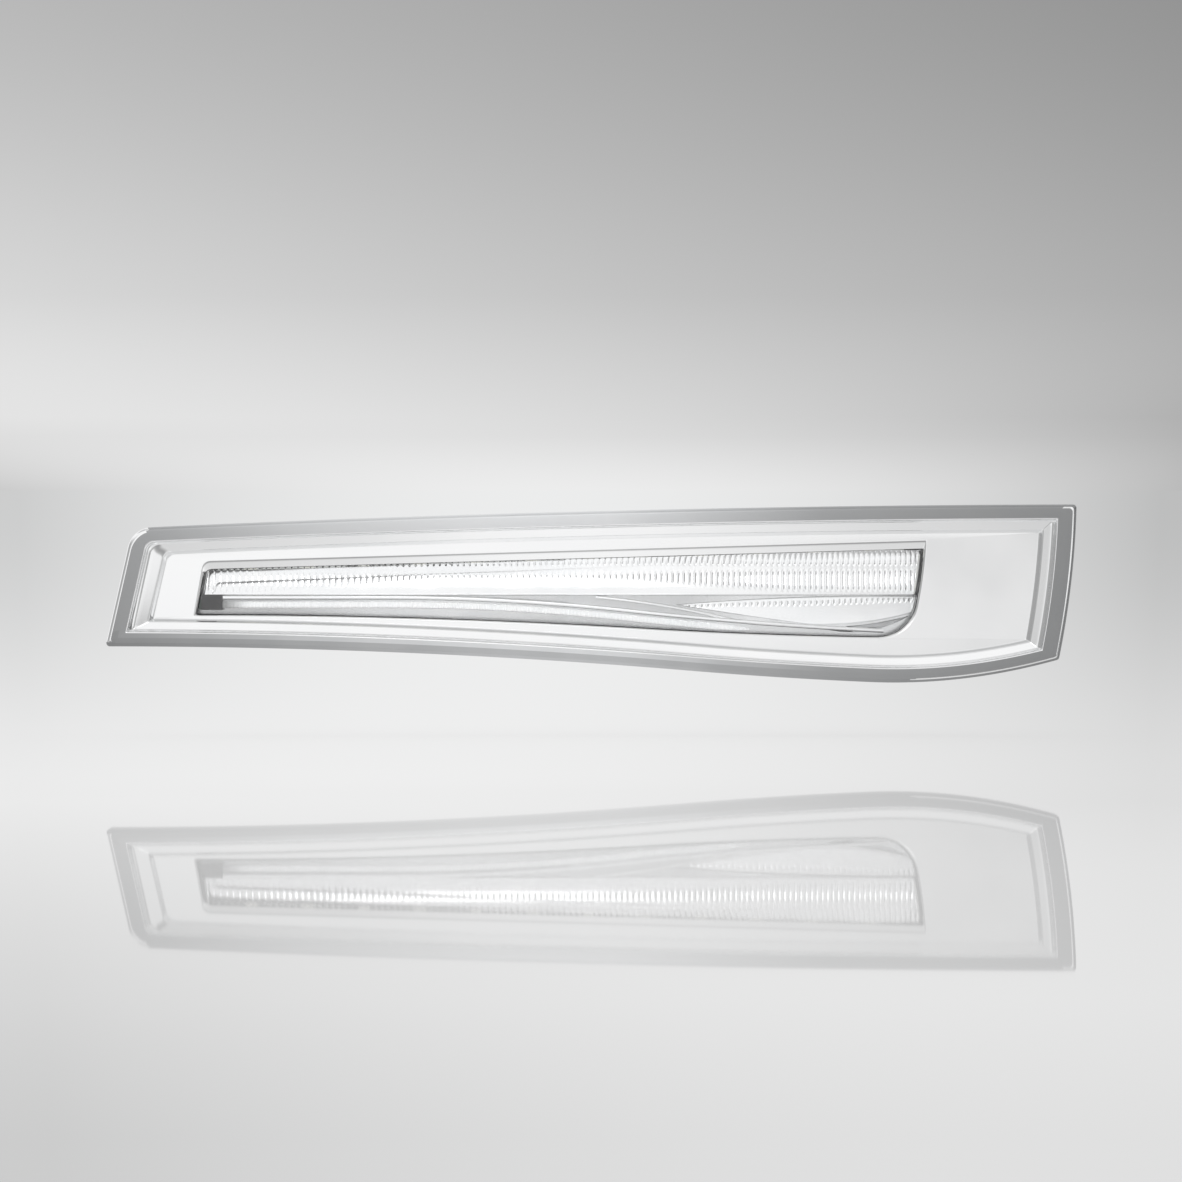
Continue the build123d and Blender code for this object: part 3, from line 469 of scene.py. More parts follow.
class MeshMaker:
    def __init__(self):
        self.points, self.faces, self.marks = [], [], []

    # Points are (x, height forward, z) in millimetres
    def addPoints(self, points):
        start = len(self.points)
        self.points += [(x * mm, -height * mm, z * mm) for x, height, z in points]
        return list(range(start, len(self.points)))

    def addRing(self, outline, height):
        return self.addPoints([(x, height, z) for x, z in outline])

    def bridge(self, first, second, mark=0, closed=True):
        count = len(first)
        for number in range(count if closed else count - 1):
            after = (number + 1) % count
            self.addFace((first[number], first[after], second[after], second[number]), mark)

    def addFace(self, corners, mark=0):
        self.faces.append(corners)
        self.marks.append(mark)

    def tube(self, x, z, radius, bore, low, high, steps=28):
        turns = [2 * math.pi * number / steps for number in range(steps)]
        rings = []
        for ringRadius, height in ((bore, low), (radius, low), (radius, high), (bore, high)):
            outline = [(x + ringRadius * math.cos(turn), z + ringRadius * math.sin(turn)) for turn in turns]
            rings.append(self.addRing(outline, height))
        for number in range(4):
            self.bridge(rings[number], rings[(number + 1) % 4])

    def build(self, name, materials, replaces, wall=0.0):
        mesh = bpy.data.meshes.new(name)
        mesh.from_pydata(self.points, [], self.faces)
        for material in materials:
            mesh.materials.append(material)
        mesh.polygons.foreach_set("material_index", self.marks)
        mesh.polygons.foreach_set("use_smooth", [True] * len(self.faces))
        mesh.update()
        piece = bpy.data.objects.new(name, mesh)
        bpy.context.scene.collection.objects.link(piece)
        mesh.set_sharp_from_angle(angle=math.radians(sharpAngle))
        if wall:  # a sheet gets its thickness to the back
            solid = piece.modifiers.new("wallThickness", "SOLIDIFY")
            solid.thickness = wall * mm
            solid.offset = -1
        weighted = piece.modifiers.new("weightedNormals", "WEIGHTED_NORMAL")
        weighted.keep_sharp = True
        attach(piece, "root")
        if replaces:
            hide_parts(replaces)
        return piece


# Finishes

grainSetup = {
    "fineDetail": 3.0,
    "cloudDetail": 4.0,
    "cloudRange": (0.3, 0.7),
    "bumpDistance": 0.0001,
}


# Fine moulded or blasted surface: a bumped normal and a cloudy mask, by the piece's own millimetres
def makeGrainGroup(setup):
    group = bpy.data.node_groups.new("fineGrain", "ShaderNodeTree")
    sockets = (("Grain", "INPUT", "NodeSocketFloat"), ("Depth", "INPUT", "NodeSocketFloat"),
               ("Cloud", "INPUT", "NodeSocketFloat"), ("Normal", "OUTPUT", "NodeSocketVector"),
               ("Mask", "OUTPUT", "NodeSocketFloat"))
    for name, way, kind in sockets:
        group.interface.new_socket(name, in_out=way, socket_type=kind)
    inside = addNode(group, "NodeGroupInput", (-900, 0))
    place = addNode(group, "ShaderNodeTexCoord", (-900, 250))
    fine = addNode(group, "ShaderNodeTexNoise", (-500, 150))
    fine.inputs["Detail"].default_value = setup["fineDetail"]
    cloud = addNode(group, "ShaderNodeTexNoise", (-500, -150))
    cloud.inputs["Detail"].default_value = setup["cloudDetail"]
    for noise, size in ((fine, "Grain"), (cloud, "Cloud")):
        scale = linkMath(group, "DIVIDE", 1 / mm, inside.outputs[size], (-700, noise.location.y - 60))
        group.links.new(place.outputs["Object"], noise.inputs["Vector"])
        group.links.new(scale, noise.inputs["Scale"])
    bump = addNode(group, "ShaderNodeBump", (-250, 150))
    bump.inputs["Distance"].default_value = setup["bumpDistance"]
    group.links.new(inside.outputs["Depth"], bump.inputs["Strength"])
    group.links.new(fine.outputs["Fac"], bump.inputs["Height"])
    mask = linkRange(group, cloud.outputs["Fac"], *setup["cloudRange"], (-250, -150))
    outside = addNode(group, "NodeGroupOutput", (0, 0))
    group.links.new(bump.outputs["Normal"], outside.inputs["Normal"])
    group.links.new(mask, outside.inputs["Mask"])
    return group


grainGroup = makeGrainGroup(grainSetup)

finishSetup = {
    "brightSilver": {
        "colours": ((0.93, 0.935, 0.94), (0.965, 0.967, 0.97)),
        "roughness": (0.1, 0.14), "metallic": 1.0, "grain": 0.5, "depth": 0.012, "cloud": 22.0,
    },
    "satinRim": {
        "colours": ((0.366, 0.371, 0.376), (0.398, 0.402, 0.406)),
        "roughness": (0.36, 0.44), "metallic": 1.0, "grain": 0.22, "depth": 0.06, "cloud": 14.0,
        # along: painted highlight over the rim's middle and painted shade towards both ends
        "along": [(0.0, 0.5), (0.2, 0.85), (0.38, 1.0), (0.52, 1.0), (0.74, 0.55), (1.0, 0.44)],
    },
    "mirrorCoat": {
        "colours": ((0.94, 0.945, 0.95), (0.97, 0.972, 0.975)),
        "roughness": (0.05, 0.11), "metallic": 1.0, "grain": 0.8, "depth": 0.01, "cloud": 9.0,
        # glow: painted glow that brightens the reflectors
        "glow": 0.05,
    },
    "satinSilver": {
        "colours": ((0.84, 0.845, 0.85), (0.9, 0.905, 0.91)),
        "roughness": (0.15, 0.22), "metallic": 1.0, "grain": 0.2, "depth": 0.05, "cloud": 8.0,
        # along: painted shade over the bezel, darkest at its left end
        "along": [
            (0.0, 0.32), (0.17, 0.33), (0.27, 0.46), (0.36, 0.48),
            (0.46, 0.42), (0.6, 0.4), (0.66, 0.5), (1.0, 0.5),
        ],
    },
    # painted shade tone for the sheet behind the bezel's slot
    "slotShadeSilver": {
        "colours": ((0.6, 0.605, 0.61), (0.65, 0.655, 0.66)),
        "roughness": (0.25, 0.35), "metallic": 1.0, "grain": 0.2, "depth": 0.05, "cloud": 8.0,
    },
    "blackPlastic": {
        "colours": ((0.024, 0.024, 0.026), (0.04, 0.04, 0.042)),
        "roughness": (0.42, 0.58), "metallic": 0.0, "grain": 0.55, "depth": 0.5, "cloud": 12.0,
    },
    "darkPlastic": {
        "colours": ((0.06, 0.06, 0.064), (0.09, 0.09, 0.095)),
        "roughness": (0.4, 0.55), "metallic": 0.0, "grain": 0.4, "depth": 0.35, "cloud": 6.0,
    },
    "foam": {
        "colours": ((0.03, 0.03, 0.031), (0.07, 0.07, 0.072)),
        "roughness": (0.85, 0.97), "metallic": 0.0, "grain": 0.7, "depth": 1.0, "cloud": 1.6,
    },
    "sealant": {
        "colours": ((0.05, 0.05, 0.052), (0.07, 0.07, 0.072)),
        "roughness": (0.55, 0.7), "metallic": 0.0, "grain": 0.9, "depth": 0.4, "cloud": 5.0,
    },
    "whiteBoard": {
        "colours": ((0.78, 0.79, 0.77), (0.86, 0.87, 0.85)),
        "roughness": (0.3, 0.42), "metallic": 0.0, "grain": 0.3, "depth": 0.15, "cloud": 4.0,
        # glow: painted glow that brightens the board
        "glow": 0.3,
    },
    "greenBoard": {
        "colours": ((0.018, 0.05, 0.034), (0.03, 0.075, 0.052)),
        "roughness": (0.3, 0.42), "metallic": 0.0, "grain": 0.3, "depth": 0.2, "cloud": 2.2,
    },
    "phosphor": {
        "colours": ((0.82, 0.81, 0.74), (0.88, 0.87, 0.8)),
        "roughness": (0.4, 0.5), "metallic": 0.0, "grain": 0.2, "depth": 0.2, "cloud": 1.0,
        "glow": 0.4,
    },
    "heatPad": {
        "colours": ((0.42, 0.47, 0.54), (0.5, 0.55, 0.62)),
        "roughness": (0.7, 0.85), "metallic": 0.0, "grain": 0.4, "depth": 0.4, "cloud": 3.0,
    },
    "castAluminium": {
        "colours": ((0.56, 0.57, 0.58), (0.68, 0.69, 0.7)),
        "roughness": (0.38, 0.52), "metallic": 1.0, "grain": 0.35, "depth": 0.45, "cloud": 6.0,
    },
    "zincSteel": {
        "colours": ((0.5, 0.5, 0.48), (0.62, 0.62, 0.6)),
        "roughness": (0.28, 0.4), "metallic": 1.0, "grain": 0.25, "depth": 0.12, "cloud": 1.5,
    },
    "brass": {
        "colours": ((0.66, 0.48, 0.2), (0.76, 0.58, 0.28)),
        "roughness": (0.24, 0.38), "metallic": 1.0, "grain": 0.25, "depth": 0.1, "cloud": 1.5,
    },
    "clearPlastic": {
        "colours": ((0.98, 0.985, 0.99), (1.0, 1.0, 1.0)),
        "roughness": (0.0, 0.015), "metallic": 0.0, "grain": 2.0, "depth": 0.004, "cloud": 30.0,
        "transmission": 1.0, "ior": 1.5,
    },
    "guidePlastic": {
        "colours": ((0.95, 0.96, 0.965), (1.0, 1.0, 1.0)),
        "roughness": (0.08, 0.16), "metallic": 0.0, "grain": 0.8, "depth": 0.03, "cloud": 6.0,
        # glow: painted glow that brightens the guide
        "transmission": 0.2, "ior": 1.5, "glow": 0.38,
        # along: painted shade at the guide's left end
        "along": [(0.115, 0.16), (0.128, 0.3), (0.143, 0.5), (1.0, 0.5)],
    },
}
finishSetup["satinFoot"] = dict(finishSetup["satinRim"], along=[
    (0.0, 0.46), (0.2, 0.62), (0.38, 0.7), (0.52, 0.72), (0.7, 0.55), (1.0, 0.44),
])  # the rim's lower part: a shaded copy of the rim's finish, painted shade
paintedToneFull = 2.0  # times the tone that the upper end of an along ramp of painted light and shade stands for


def makeFinish(name, setup):
    material = bpy.data.materials.new(name)
    material.use_nodes = True
    tree = material.node_tree
    shader = tree.nodes["Principled BSDF"]
    shader.inputs["Metallic"].default_value = setup["metallic"]
    shader.inputs["Transmission Weight"].default_value = setup.get("transmission", 0.0)
    shader.inputs["IOR"].default_value = setup.get("ior", 1.5)
    # the glow of reflectors, white board and guide is painted light; that of the diodes is their own
    shader.inputs["Emission Strength"].default_value = setup.get("glow", 0.0)
    grain = addNode(tree, "ShaderNodeGroup", (-700, 0), node_tree=grainGroup)
    for socket, key in (("Grain", "grain"), ("Depth", "depth"), ("Cloud", "cloud")):
        grain.inputs[socket].default_value = setup[key]
    colour = linkMix(tree, *setup["colours"], grain.outputs["Mask"], (-400, 200))
    if "along" in setup:  # painted light and shade from left to right
        place = addNode(tree, "ShaderNodeTexCoord", (-1100, 400))
        split = addNode(tree, "ShaderNodeSeparateXYZ", (-920, 400))
        tree.links.new(place.outputs["Object"], split.inputs[0])
        ends = faceShape["left"] * mm, faceShape["right"] * mm
        across = linkRange(tree, split.outputs[0], *ends, (-740, 400))
        tone = linkRamp(tree, setup["along"], across, (-560, 450))
        share = linkMath(tree, "MULTIPLY", tone, paintedToneFull, (-280, 450))
        colour = linkScale(tree, colour, share, (-150, 300))
    rough = linkRange(tree, grain.outputs["Mask"], 0.0, 1.0, (-400, -50), *setup["roughness"])
    for socket in ("Base Color", "Emission Color"):
        tree.links.new(colour, shader.inputs[socket])
    tree.links.new(rough, shader.inputs["Roughness"])
    tree.links.new(grain.outputs["Normal"], shader.inputs["Normal"])
    return material


finish = {name: makeFinish(name, setup) for name, setup in finishSetup.items()}

# Finish of each solid that is shown as it is, and the rounding of its edges in millimetres
solidFinish = {
    "rim_seal": ("foam", 0.4),
    "outer_lens": ("clearPlastic", 0.0),
    "lens_seal": ("sealant", 0.0),
    "inner_bezel": ("satinSilver", 0.12),
    "guide_holder": ("darkPlastic", 0.12),
    "guide_board": ("greenBoard", 0.0),
    "guide_diode": ("phosphor", 0.0),
    "diode_board": ("whiteBoard", 0.0),
    "light_diodes": ("phosphor", 0.1),
    "thermal_pad": ("heatPad", 0.0),
    "heat_sink": ("castAluminium", 0.25),
    "sink_gasket": ("sealant", 0.0),
    "sink_screws": ("zincSteel", 0.2),
    "driver_board": ("greenBoard", 0.0),
    "driver_parts": ("darkPlastic", 0.15),
    "rear_housing": ("blackPlastic", 0.3),
    "connector_socket": ("darkPlastic", 0.25),
    "connector_pins": ("brass", 0.12),
    "vent_cap": ("darkPlastic", 0.35),
    "thread_inserts": ("brass", 0.2),
    "frame_screws": ("zincSteel", 0.2),
}
roundingSetup = {"segments": 2, "angle": 35.0}


def dressSolids(setup):
    for name, node in nodes.items():
        finishName, rounding = solidFinish.get(name, ("mirrorCoat", 0.0))  # the rest is remodelled
        node.data.materials.clear()
        node.data.materials.append(finish[finishName])
        if rounding:
            bevel = node.modifiers.new("roundedEdges", "BEVEL")
            bevel.width = rounding * mm
            bevel.segments = setup["segments"]
            bevel.limit_method = "ANGLE"
            bevel.angle_limit = math.radians(setup["angle"])
            bevel.use_clamp_overlap = True


dressSolids(roundingSetup)
print("finishes ready")


# Trim frame

frameSetup = {
    "rimIn": (3.8, 4.8, 5.2),  # drawn in at the sides, the left end, the right end
    "beadIn": (0.4, 0.4, 0.4),
    "coveIn": (0.9, 2.0, 1.3),
    "bandIn": (1.7, 3.1, 1.9),
    "stepIn": (1.2, 1.4, 1.5),
    "rimWall": (0.9, 1.2, 1.6),
    "face": 44.0,
    "beadDrop": 0.4,
    "coveDrop": 2.4,
    "bandDrop": 0.6,
    "stepDrop": 1.6,
    "wall": 2.2,
    "depth": 14.0,
    "edgeRadius": 1.1,
    "edgeSteps": 8,
    "innerFrom": 7,  # step of the rounded edge where its inner part begins
    "paintedGlintLeft": -126.0,  # the rounded edge takes the bright finish left of here, a painted highlight
    "paintedGlintLowest": -14.7,  # and above this
    "paintedGlintRight": (92.0, 132.0),  # its inner part also right of here, below and above
    "footSlack": 0.05,  # keeps the rim's inner edge out of its lower part
    "beadSteps": 5,
    "coveSteps": 14,
    "bandShares": (0.3, 0.6, 0.85, 1.0),
    "stepSteps": 10,
    "lipSteps": 12,
    "cover": 0.7,  # wall in front of the hollow behind the steps
    "windowRound": 0.5,
    "revealTop": 2.12,  # how far the rolled lip reaches into the window
    "revealSide": 0.8,
    "revealFoot": 0.6,
    "lipDrop": 1.05,
    "bossRadius": 2.8,
    "bossBore": 1.1,
    "bossLength": 5.6,
    "bossSink": 0.5,  # into the panel
    "bosses": ((-122.9, -1.0), (117.0, 9.5), (114.5, -9.0)),
}


def makeFrame(setup):
    maker = MeshMaker()
    rings = []

    def ring(steps, height, radii, mark):
        side, left, right = steps
        rings.append((maker.addRing(edgeRing(faceShape, (side, side, left, right), radii), height), mark))

    def windowRing(share, height, mark):
        side = setup["revealSide"] * share
        insets = (setup["revealTop"] * share, setup["revealFoot"] * share, side, side)
        rings.append((maker.addRing(edgeRing(windowShape, insets, windowRadii), height), mark))

    face = setup["face"]
    back = face - setup["depth"]
    even = np.ones(3)
    rim = np.array(setup["rimIn"])
    bead = np.array(setup["beadIn"])
    cove = np.array(setup["coveIn"])
    band = np.array(setup["bandIn"])
    step = np.array(setup["stepIn"])
    radius = setup["edgeRadius"]
    satin, bright, foot, outer, inner = range(5)
    ring(even * 0, back, outerRadii, satin)
    ring(even * 0, back + setup["depth"] / 2, outerRadii, satin)
    for number in range(setup["edgeSteps"] + 1):  # rounded outer edge
        turn = number / setup["edgeSteps"] * math.pi / 2
        mark = inner if number >= setup["innerFrom"] else outer if number else satin
        ring(even * radius * (1 - math.cos(turn)), face - radius * (1 - math.sin(turn)), outerRadii, mark)
    ring((even * radius + rim) / 2, face, innerRadii, satin)
    ring(rim, face, innerRadii, satin)
    for share in np.linspace(0, 1, setup["beadSteps"] + 1)[1:]:  # bead
        turn = share * math.pi / 2
        drop = setup["beadDrop"] * (1 - math.cos(turn))
        ring(rim + bead * math.sin(turn), face - drop, innerRadii, bright)
    inset, height = rim + bead, face - setup["beadDrop"]
    for share in np.linspace(0, 1, setup["coveSteps"] + 1)[1:]:  # hollow cove
        turn = share * math.pi / 2
        drop = setup["coveDrop"] * math.sin(turn)
        ring(inset + cove * (1 - math.cos(turn)), height - drop, innerRadii, bright)
    inset, height = inset + cove, height - setup["coveDrop"]
    for share in setup["bandShares"]:  # band
        ring(inset + band * share, height - setup["bandDrop"] * share, innerRadii, bright)
    inset, height = inset + band, height - setup["bandDrop"]
    for share in np.linspace(0, 1, setup["stepSteps"] + 1)[1:]:  # second step, an S
        drop = setup["stepDrop"] * (share * share * (3 - 2 * share))
        ring(inset + step * share, height - drop, innerRadii, bright)
    inset, height = inset + step, height - setup["stepDrop"]
    panelBack = height - setup["wall"]
    soft = setup["windowRound"]
    for share in np.linspace(0, 1, setup["lipSteps"] + 1):  # rolled edge of the window
        inset = (soft + setup["revealTop"]) * share - soft
        windowRing(inset / setup["revealTop"], height - setup["lipDrop"] * share**2, bright)
    windowRing(1.0, panelBack, bright)
    hollowLow = rim + bead + cove + band
    ring(hollowLow, panelBack, innerRadii, satin)
    hollowTop = height + setup["stepDrop"] + setup["bandDrop"] - setup["cover"]
    share = (hollowTop - panelBack) / (hollowTop + setup["cover"] - panelBack)
    ring(hollowLow + (rim - np.array(setup["rimWall"]) - hollowLow) * share, hollowTop, innerRadii, satin)
    ring(even * setup["wall"], hollowTop, innerRadii, satin)
    ring(even * setup["wall"], back, outerRadii, satin)
    for (first, _), (second, mark) in zip(rings, rings[1:] + rings[:1]):
        maker.bridge(second, first, mark)
    low, high = setup["paintedGlintRight"]
    for number, mark in enumerate(maker.marks):  # the outer edge takes the bright finish at both ends only, a painted highlight
        x, _, z = np.array(maker.points[maker.faces[number][0]]) / mm
        leftEnd = mark in (outer, inner) and x < setup["paintedGlintLeft"] and z > setup["paintedGlintLowest"]
        rightEnd = mark == inner and x > (low if z < 0 else high)
        if leftEnd or rightEnd:
            maker.marks[number] = bright
        elif mark != bright:
            # faces of the rim's lower part take the shaded copy of its finish: painted shade
            footTop = bottomAt(faceShape, x) + setup["rimIn"][0] - setup["footSlack"]
            maker.marks[number] = foot if z < footTop else satin
    for x, z in setup["bosses"]:
        low = panelBack - setup["bossLength"]
        maker.tube(x, z, setup["bossRadius"], setup["bossBore"], low, panelBack + setup["bossSink"])
    coats = [finish["satinRim"], finish["brightSilver"], finish["satinFoot"]]
    return maker.build("trimFrame", coats, "trim_frame")


makeFrame(frameSetup)
print("frame ready")


# Fluted reflectors

fluteProfile = (
    (0.0, 0.0), (0.08, 0.75), (0.2, 0.95), (0.5, 1.0), (0.8, 0.95), (0.92, 0.75),
)  # place and ridge across a flute
leastHeight = 0.02  # of a flute where its edges meet
troughSetup = {
    "lip": (29.6, -1.6),  # height forward, z
    "crown": (28.6, 11.0),
    "radius": 40.0,
    "ceiling": 1.7,  # its top below the window's top edge
    "highest": 11.35,
    "margin": 0.8,
    "wall": 0.85,
    "flutes": (1.84, 1.47),  # first and last width
    "fluteHeight": 0.28,
    "profile": fluteProfile,
    "levels": 36,
    "rows": (
        (
            (-112, -0.9, 5.4), (-95, -0.9, 5.0), (-75, 0.8, 4.7), (-45, 3.2, 4.3), (-10, 3.2, 4.3),
            (10, 2.6, 4.7), (35, 1.0, 5.3), (55, -0.4, 5.6), (95, -0.6, 5.7),
        ),
        ((-70, 6.5, 7.1), (-45, 6.7, 7.5), (0, 6.9, 8.0), (20, 7.0, 9.4), (35, 6.9, 10.5), (95, 6.8, 11.0)),
    ),
    "cut": ((-112, 0.16), (-95, 0.2), (-80, 0.26), (-70, 0.3), (20, 0.36), (45, 0.75), (95, 0.9)),
    "lean": ((0, 0.0), (25, 0.05), (55, 0.045), (80, 0.012), (90, 0.0)),  # upper dashes bend to the right
    "leanFrom": 6.2,
    "arch": ((-103.6, 5.9), (31.0, 10.2)),  # line on which the flutes' arched tops end
    "archDrop": 0.6,
    "archSink": 0.3,
    "endDepth": (27.1, 29.98),
    "endLevels": 12,
    "seekLevels": 60,  # levels that are tried for the right end's lower edge
    "posts": ((-91.85, 3.55), (83.6, 3.55)),
    "postSize": 2.6,
    "postBack": 13.0,
}
pocketSetup = {
    "lip": (27.0, -10.1),
    "crown": (25.8, -1.6),
    "radius": 20.0,
    "wall": 0.85,
    "flutes": (1.84, 1.47),
    "fluteHeight": 0.28,
    "profile": fluteProfile,
    "levels": 24,
    "rows": (((24, -5.2, -4.7), (40, -4.8, -4.0), (60, -4.5, -3.6), (93, -3.5, -2.6)),),
    "cut": ((24, 0.7), (93, 0.9)),
    "lean": ((24, 0.0), (93, 0.0)),
    "leanFrom": 0.0,
    "gap": 0.1,
    "tip": (24.1, -4.4),
    "upper": ((24.1, -4.4), (52.1, -2.5), (92.5, -1.9)),  # edges of the bezel's opening, as arcs
    "floor": ((91.3, -6.7), (78.1, -9.4), (62.1, -10.0)),
    "waist": ((62.1, -10.0), (41.1, -7.1), (24.1, -4.4)),
    "posts": ((52.1, -5.1),),
    "postSize": 2.6,
    "postBack": 13.0,
}
slotSetup = {
    "upper": ((64.1, -10.7), (78.1, -10.0), (90.7, -7.5)),  # edges of the bezel's crescent slot, as arcs
    "lower": ((64.1, -10.7), (80.6, -11.5), (90.7, -7.5)),
    "overlap": 0.3,
    "height": 25.9,  # just behind the bezel
    "wall": 0.6,
    "steps": 40,
}


# Edges between flutes that get steadily narrower
def fluteEdges(first, last, widths):
    count = round((last - first) / (sum(widths) / 2))
    ratio = (widths[1] / widths[0]) ** (1 / (count - 1))
    steps = np.cumsum([0.0] + [ratio**number for number in range(count)])
    return first + (last - first) * steps / steps[-1]


def troughHeight(setup, z):
    lip, crown = np.array(setup["lip"]), np.array(setup["crown"])
    chord = np.linalg.norm(crown - lip)
    reach = math.sqrt(setup["radius"] ** 2 - chord**2 / 4)
    axisHeight = (lip[0] + crown[0]) / 2 + reach * (crown[1] - lip[1]) / chord
    axisZ = (lip[1] + crown[1]) / 2 + reach * (lip[0] - crown[0]) / chord
    return axisHeight - math.sqrt(setup["radius"] ** 2 - (axisZ - z) ** 2)


# Parabola through three points, as a function of x
def curveThrough(points):
    return np.poly1d(np.polyfit([point[0] for point in points], [point[1] for point in points], 2))


# Share of a flute's valley that is cut at a place: rows of dashes, each as (x, low, high) along the lamp
def dashAt(setup, x, z):
    cut = 0.0
    for row in setup["rows"]:
        places, lows, highs = zip(*row)
        low, high = np.interp(x, places, lows), np.interp(x, places, highs)
        share = (z - low) / (high - low)
        if 0 < share < 1:
            cut = max(cut, 1 - (2 * share - 1) ** 4)  # blunt ends
    return cut * np.interp(x, *zip(*setup["cut"]))


# Sheet of flutes between a lower and an upper edge; what lies above their arched tops takes dark plastic, a
# painted shade
def addFlutes(maker, setup, edges, lower, upper):
    shares, ridges = zip(*setup["profile"])
    columns = [(start + (end - start) * share, share, ridge)
               for start, end in zip(edges, edges[1:]) for share, ridge in zip(shares, ridges)]
    columns.append((edges[-1], 0.0, 0.0))
    grid, tops = [], []
    for x, share, ridge in columns:
        low = lower(x)
        high = max(upper(x), low + leastHeight)
        top = math.inf
        if "arch" in setup:
            (x0, z0), (x1, z1) = setup["arch"]
            top = z0 + (z1 - z0) * (x - x0) / (x1 - x0) - setup["archDrop"] * (2 * share - 1) ** 2
        column = []
        for level in np.linspace(low, high, setup["levels"] + 1):
            height = setup["fluteHeight"] * (1 - (1 - ridge) * dashAt(setup, x, level))
            if level > top:
                height -= setup["archSink"]
            lean = np.interp(x, *zip(*setup["lean"])) * max(level - setup["leanFrom"], 0) ** 2
            column.append((x + lean, troughHeight(setup, level) + height, level))
        grid.append(maker.addPoints(column))
        tops.append(top * mm)
    for first, second, top in zip(grid, grid[1:], tops):
        for number in range(setup["levels"]):
            corners = (first[number], second[number], second[number + 1], first[number + 1])
            middle = (maker.points[corners[0]][2] + maker.points[corners[3]][2]) / 2
            # faces above the arched tops take the second, dark finish: painted shade
            maker.addFace(corners, 1 if middle > top else 0)


def addPosts(maker, setup):
    half = setup["postSize"] / 2
    for x, z in setup["posts"]:
        outline = [(x - half, z - half), (x + half, z - half), (x + half, z + half), (x - half, z + half)]
        top = troughHeight(setup, z) - setup["wall"]
        maker.bridge(maker.addRing(outline, top), maker.addRing(outline, setup["postBack"]))


def makeUpperReflector(setup):
    maker = MeshMaker()
    margin = setup["margin"]
    lipZ = setup["lip"][1]
    low, high = windowShape["bottom"][0], windowShape["top"][0]

    def upper(x):
        z = min(setup["highest"], topAt(windowShape, x) - setup["ceiling"])
        leftLimit = low + (x - margin - windowShape["left"]) * (high - low) / windowShape["leftLean"]
        return min(z, leftLimit)

    def lower(x):
        levels = np.linspace(lipZ, setup["crown"][1], setup["seekLevels"])
        inside = [z for z in levels if rightAt(windowShape, z) - margin >= x]
        return inside[0] if inside else levels[-1]

    first = leftAt(windowShape, lipZ) + margin
    last = rightAt(windowShape, setup["crown"][1]) - margin
    addFlutes(maker, setup, fluteEdges(first, last, setup["flutes"]), lower, upper)
    back, front = setup["endDepth"]
    leftTop = high - setup["ceiling"]
    for edgeAt, inset, top in ((leftAt, margin, leftTop), (rightAt, -margin, setup["crown"][1])):
        levels = np.linspace(lipZ, top, setup["endLevels"])
        near = maker.addPoints([(edgeAt(windowShape, z) + inset, front, z) for z in levels])
        deep = maker.addPoints([(edgeAt(windowShape, z) + inset, back, z) for z in levels])
        rows = (near, deep) if inset > 0 else (deep, near)
        maker.bridge(*rows, closed=False)
    addPosts(maker, setup)
    # dark plastic above the arched tops is a painted shade
    coats = [finish["mirrorCoat"], finish["darkPlastic"]]
    return maker.build("upperReflector", coats, "upper_reflector", setup["wall"])


def makeLowerReflector(setup):
    maker = MeshMaker()
    upper = curveThrough(setup["upper"])
    floor = curveThrough(setup["floor"])
    waist = curveThrough(setup["waist"])
    split = setup["waist"][0][0]
    heelX, heelZ = setup["floor"][0]
    shoulderX, shoulderZ = setup["upper"][2]

    def lower(x):
        if x > heelX:
            return heelZ + (shoulderZ - heelZ) * (x - heelX) / (shoulderX - heelX) + setup["gap"]
        return (floor(x) if x > split else waist(x)) + setup["gap"]

    edges = fluteEdges(setup["tip"][0] + 2 * setup["gap"], shoulderX - setup["gap"], setup["flutes"])
    addFlutes(maker, setup, edges, lower, lambda x: upper(x) - setup["gap"])
    addPosts(maker, setup)
    coats = [finish["mirrorCoat"]]
    return maker.build("lowerReflector", coats, "lower_reflector", setup["wall"])


# Dim silver sheet behind the bezel's crescent slot, standing in for the grey shade seen in it
def makeSlotShadeSheet(setup):
    maker = MeshMaker()
    upper, lower = curveThrough(setup["upper"]), curveThrough(setup["lower"])
    over, height = setup["overlap"], setup["height"]
    places = np.linspace(setup["upper"][0][0], setup["upper"][2][0], setup["steps"])
    top = maker.addPoints([(x, height, upper(x) + over) for x in places])
    foot = maker.addPoints([(x, height, lower(x) - over) for x in places])
    maker.bridge(foot, top, closed=False)
    return maker.build("slotShadeSheet", [finish["slotShadeSilver"]], None, setup["wall"])


makeUpperReflector(troughSetup)
makeLowerReflector(pocketSetup)
makeSlotShadeSheet(slotSetup)
print("reflectors ready")


# Divider blade and light guide

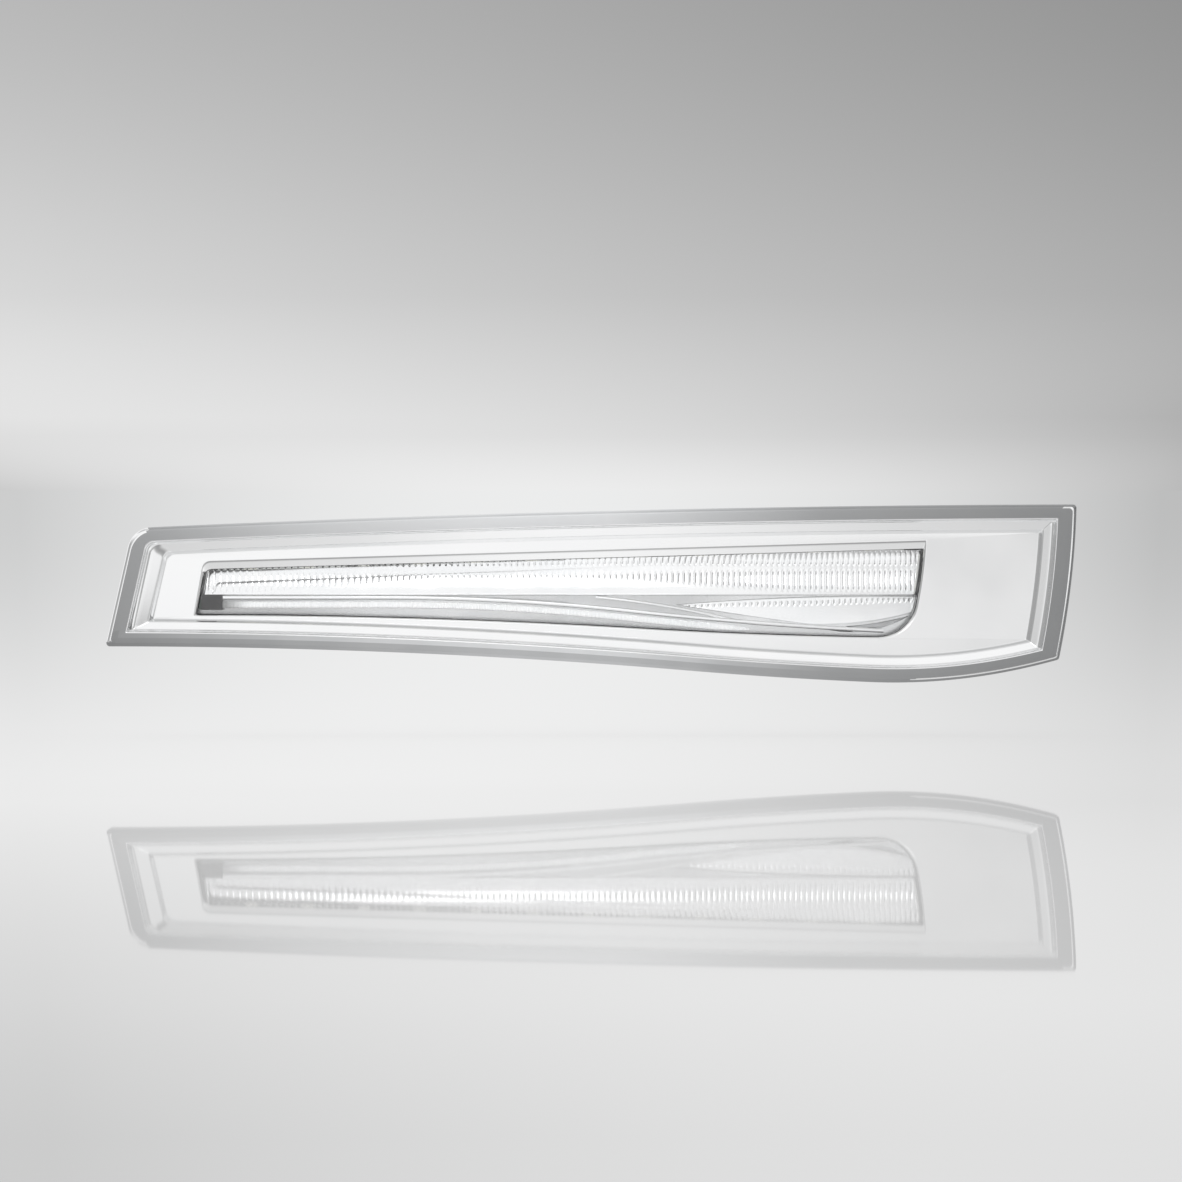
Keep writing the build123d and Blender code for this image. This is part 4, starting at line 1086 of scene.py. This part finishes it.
sweepSetup = {
    "leftZ": -2.3,
    "start": -58.0,
    "knee": (10.0, -6.0),
    "end": (83.1, -11.7),
}
bladeSetup = {
    "left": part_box("divider_blade")[0].x / mm,
    "right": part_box("divider_blade")[1].x / mm,
    "thickness": 1.2,
    "front": 34.2,
    "back": 33.0,
    "root": -6.0,  # right of here it reaches back to the bezel
    "bezel": 28.0,
    "round": 0.35,
    "branch": ((1.4, -2.2), (41.1, -8.85)),
    "branchBow": 0.8,
    "branchThickness": 0.9,
    "branchFront": 33.0,
    "step": 0.8,
}
guideSetup = {
    "left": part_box("light_guide")[0].x / mm,
    "right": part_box("light_guide")[1].x / mm,
    "drop": 2.05,
    "size": 1.9,
    "back": 30.55,
    "chamfer": 0.45,
    "notchPitch": 1.05,
    "notchDepth": 0.16,
    "notchSteps": 6,
    "taper": 12.0,
    "thinning": 0.8,
}
roundSteps = 6


def sweepZ(x):
    setup = sweepSetup
    kneeX, kneeZ = setup["knee"]
    if x < setup["start"]:
        return setup["leftZ"]
    run = kneeX - setup["start"]
    if x < kneeX:
        return setup["leftZ"] + (kneeZ - setup["leftZ"]) * ((x - setup["start"]) / run) ** 2
    slope = 2 * (kneeZ - setup["leftZ"]) / run
    reach = setup["end"][0] - kneeX
    bend = ((setup["end"][1] - kneeZ) / reach - slope) / reach
    return kneeZ + slope * (x - kneeX) + bend * (x - kneeX) ** 2


# Section of a strip, round at its front edges: offsets in z and heights
def stripSection(thickness, back, front, radius):
    half = thickness / 2
    points = [(-half, back)]
    for number in range(roundSteps + 1):
        turn = math.pi / 2 * number / roundSteps
        points.append((-half + radius * (1 - math.cos(turn)), front - radius * (1 - math.sin(turn))))
    for number in range(roundSteps + 1):
        turn = math.pi / 2 * number / roundSteps
        points.append((half - radius * (1 - math.sin(turn)), front - radius * (1 - math.cos(turn))))
    points.append((half, back))
    return points


def addStrip(maker, places, middle, section):
    rings = []
    for x in places:
        rings.append(maker.addPoints([(x, height, middle(x) + shift) for shift, height in section(x)]))
    for first, second in zip(rings, rings[1:]):
        maker.bridge(first, second)
    maker.addFace(tuple(reversed(rings[0])))
    maker.addFace(tuple(rings[-1]))


def makeBlade(setup):
    maker = MeshMaker()

    def section(x):
        back = setup["bezel"] if x > setup["root"] else setup["back"]
        return stripSection(setup["thickness"], back, setup["front"], setup["round"])

    count = round((setup["right"] - setup["left"]) / setup["step"])
    addStrip(maker, np.linspace(setup["left"], setup["right"], count), sweepZ, section)
    (x0, z0), (x1, z1) = setup["branch"]

    def branchZ(x):
        share = (x - x0) / (x1 - x0)
        return z0 + (z1 - z0) * share + 4 * setup["branchBow"] * share * (1 - share)

    rib = stripSection(setup["branchThickness"], setup["bezel"], setup["branchFront"], setup["round"])
    addStrip(maker, np.linspace(x0, x1, round((x1 - x0) / setup["step"])), branchZ, lambda x: rib)
    return maker.build("dividerBlade", [finish["mirrorCoat"]], "divider_blade")


def makeGuide(setup):
    maker = MeshMaker()
    pitch = setup["notchPitch"]
    front = setup["back"] + setup["size"]

    def section(x):
        notch = setup["notchDepth"] * (1 - abs(math.sin(math.pi * x / pitch)))
        taper = max(1 - (setup["right"] - x) / setup["taper"], 0) ** 2  # towards its right end
        keep = 1 - taper * setup["thinning"]
        return stripSection(setup["size"] * keep, setup["back"], front - notch, setup["chamfer"] * keep)

    count = round((setup["right"] - setup["left"]) / pitch * setup["notchSteps"])
    places = np.linspace(setup["left"], setup["right"], count)
    addStrip(maker, places, lambda x: sweepZ(x) - setup["drop"], section)
    return maker.build("lightGuide", [finish["guidePlastic"]], "light_guide")


makeBlade(bladeSetup)
makeGuide(guideSetup)
print("blade and guide ready")


scene = bpy.context.scene
scene.view_settings.view_transform = "Standard"
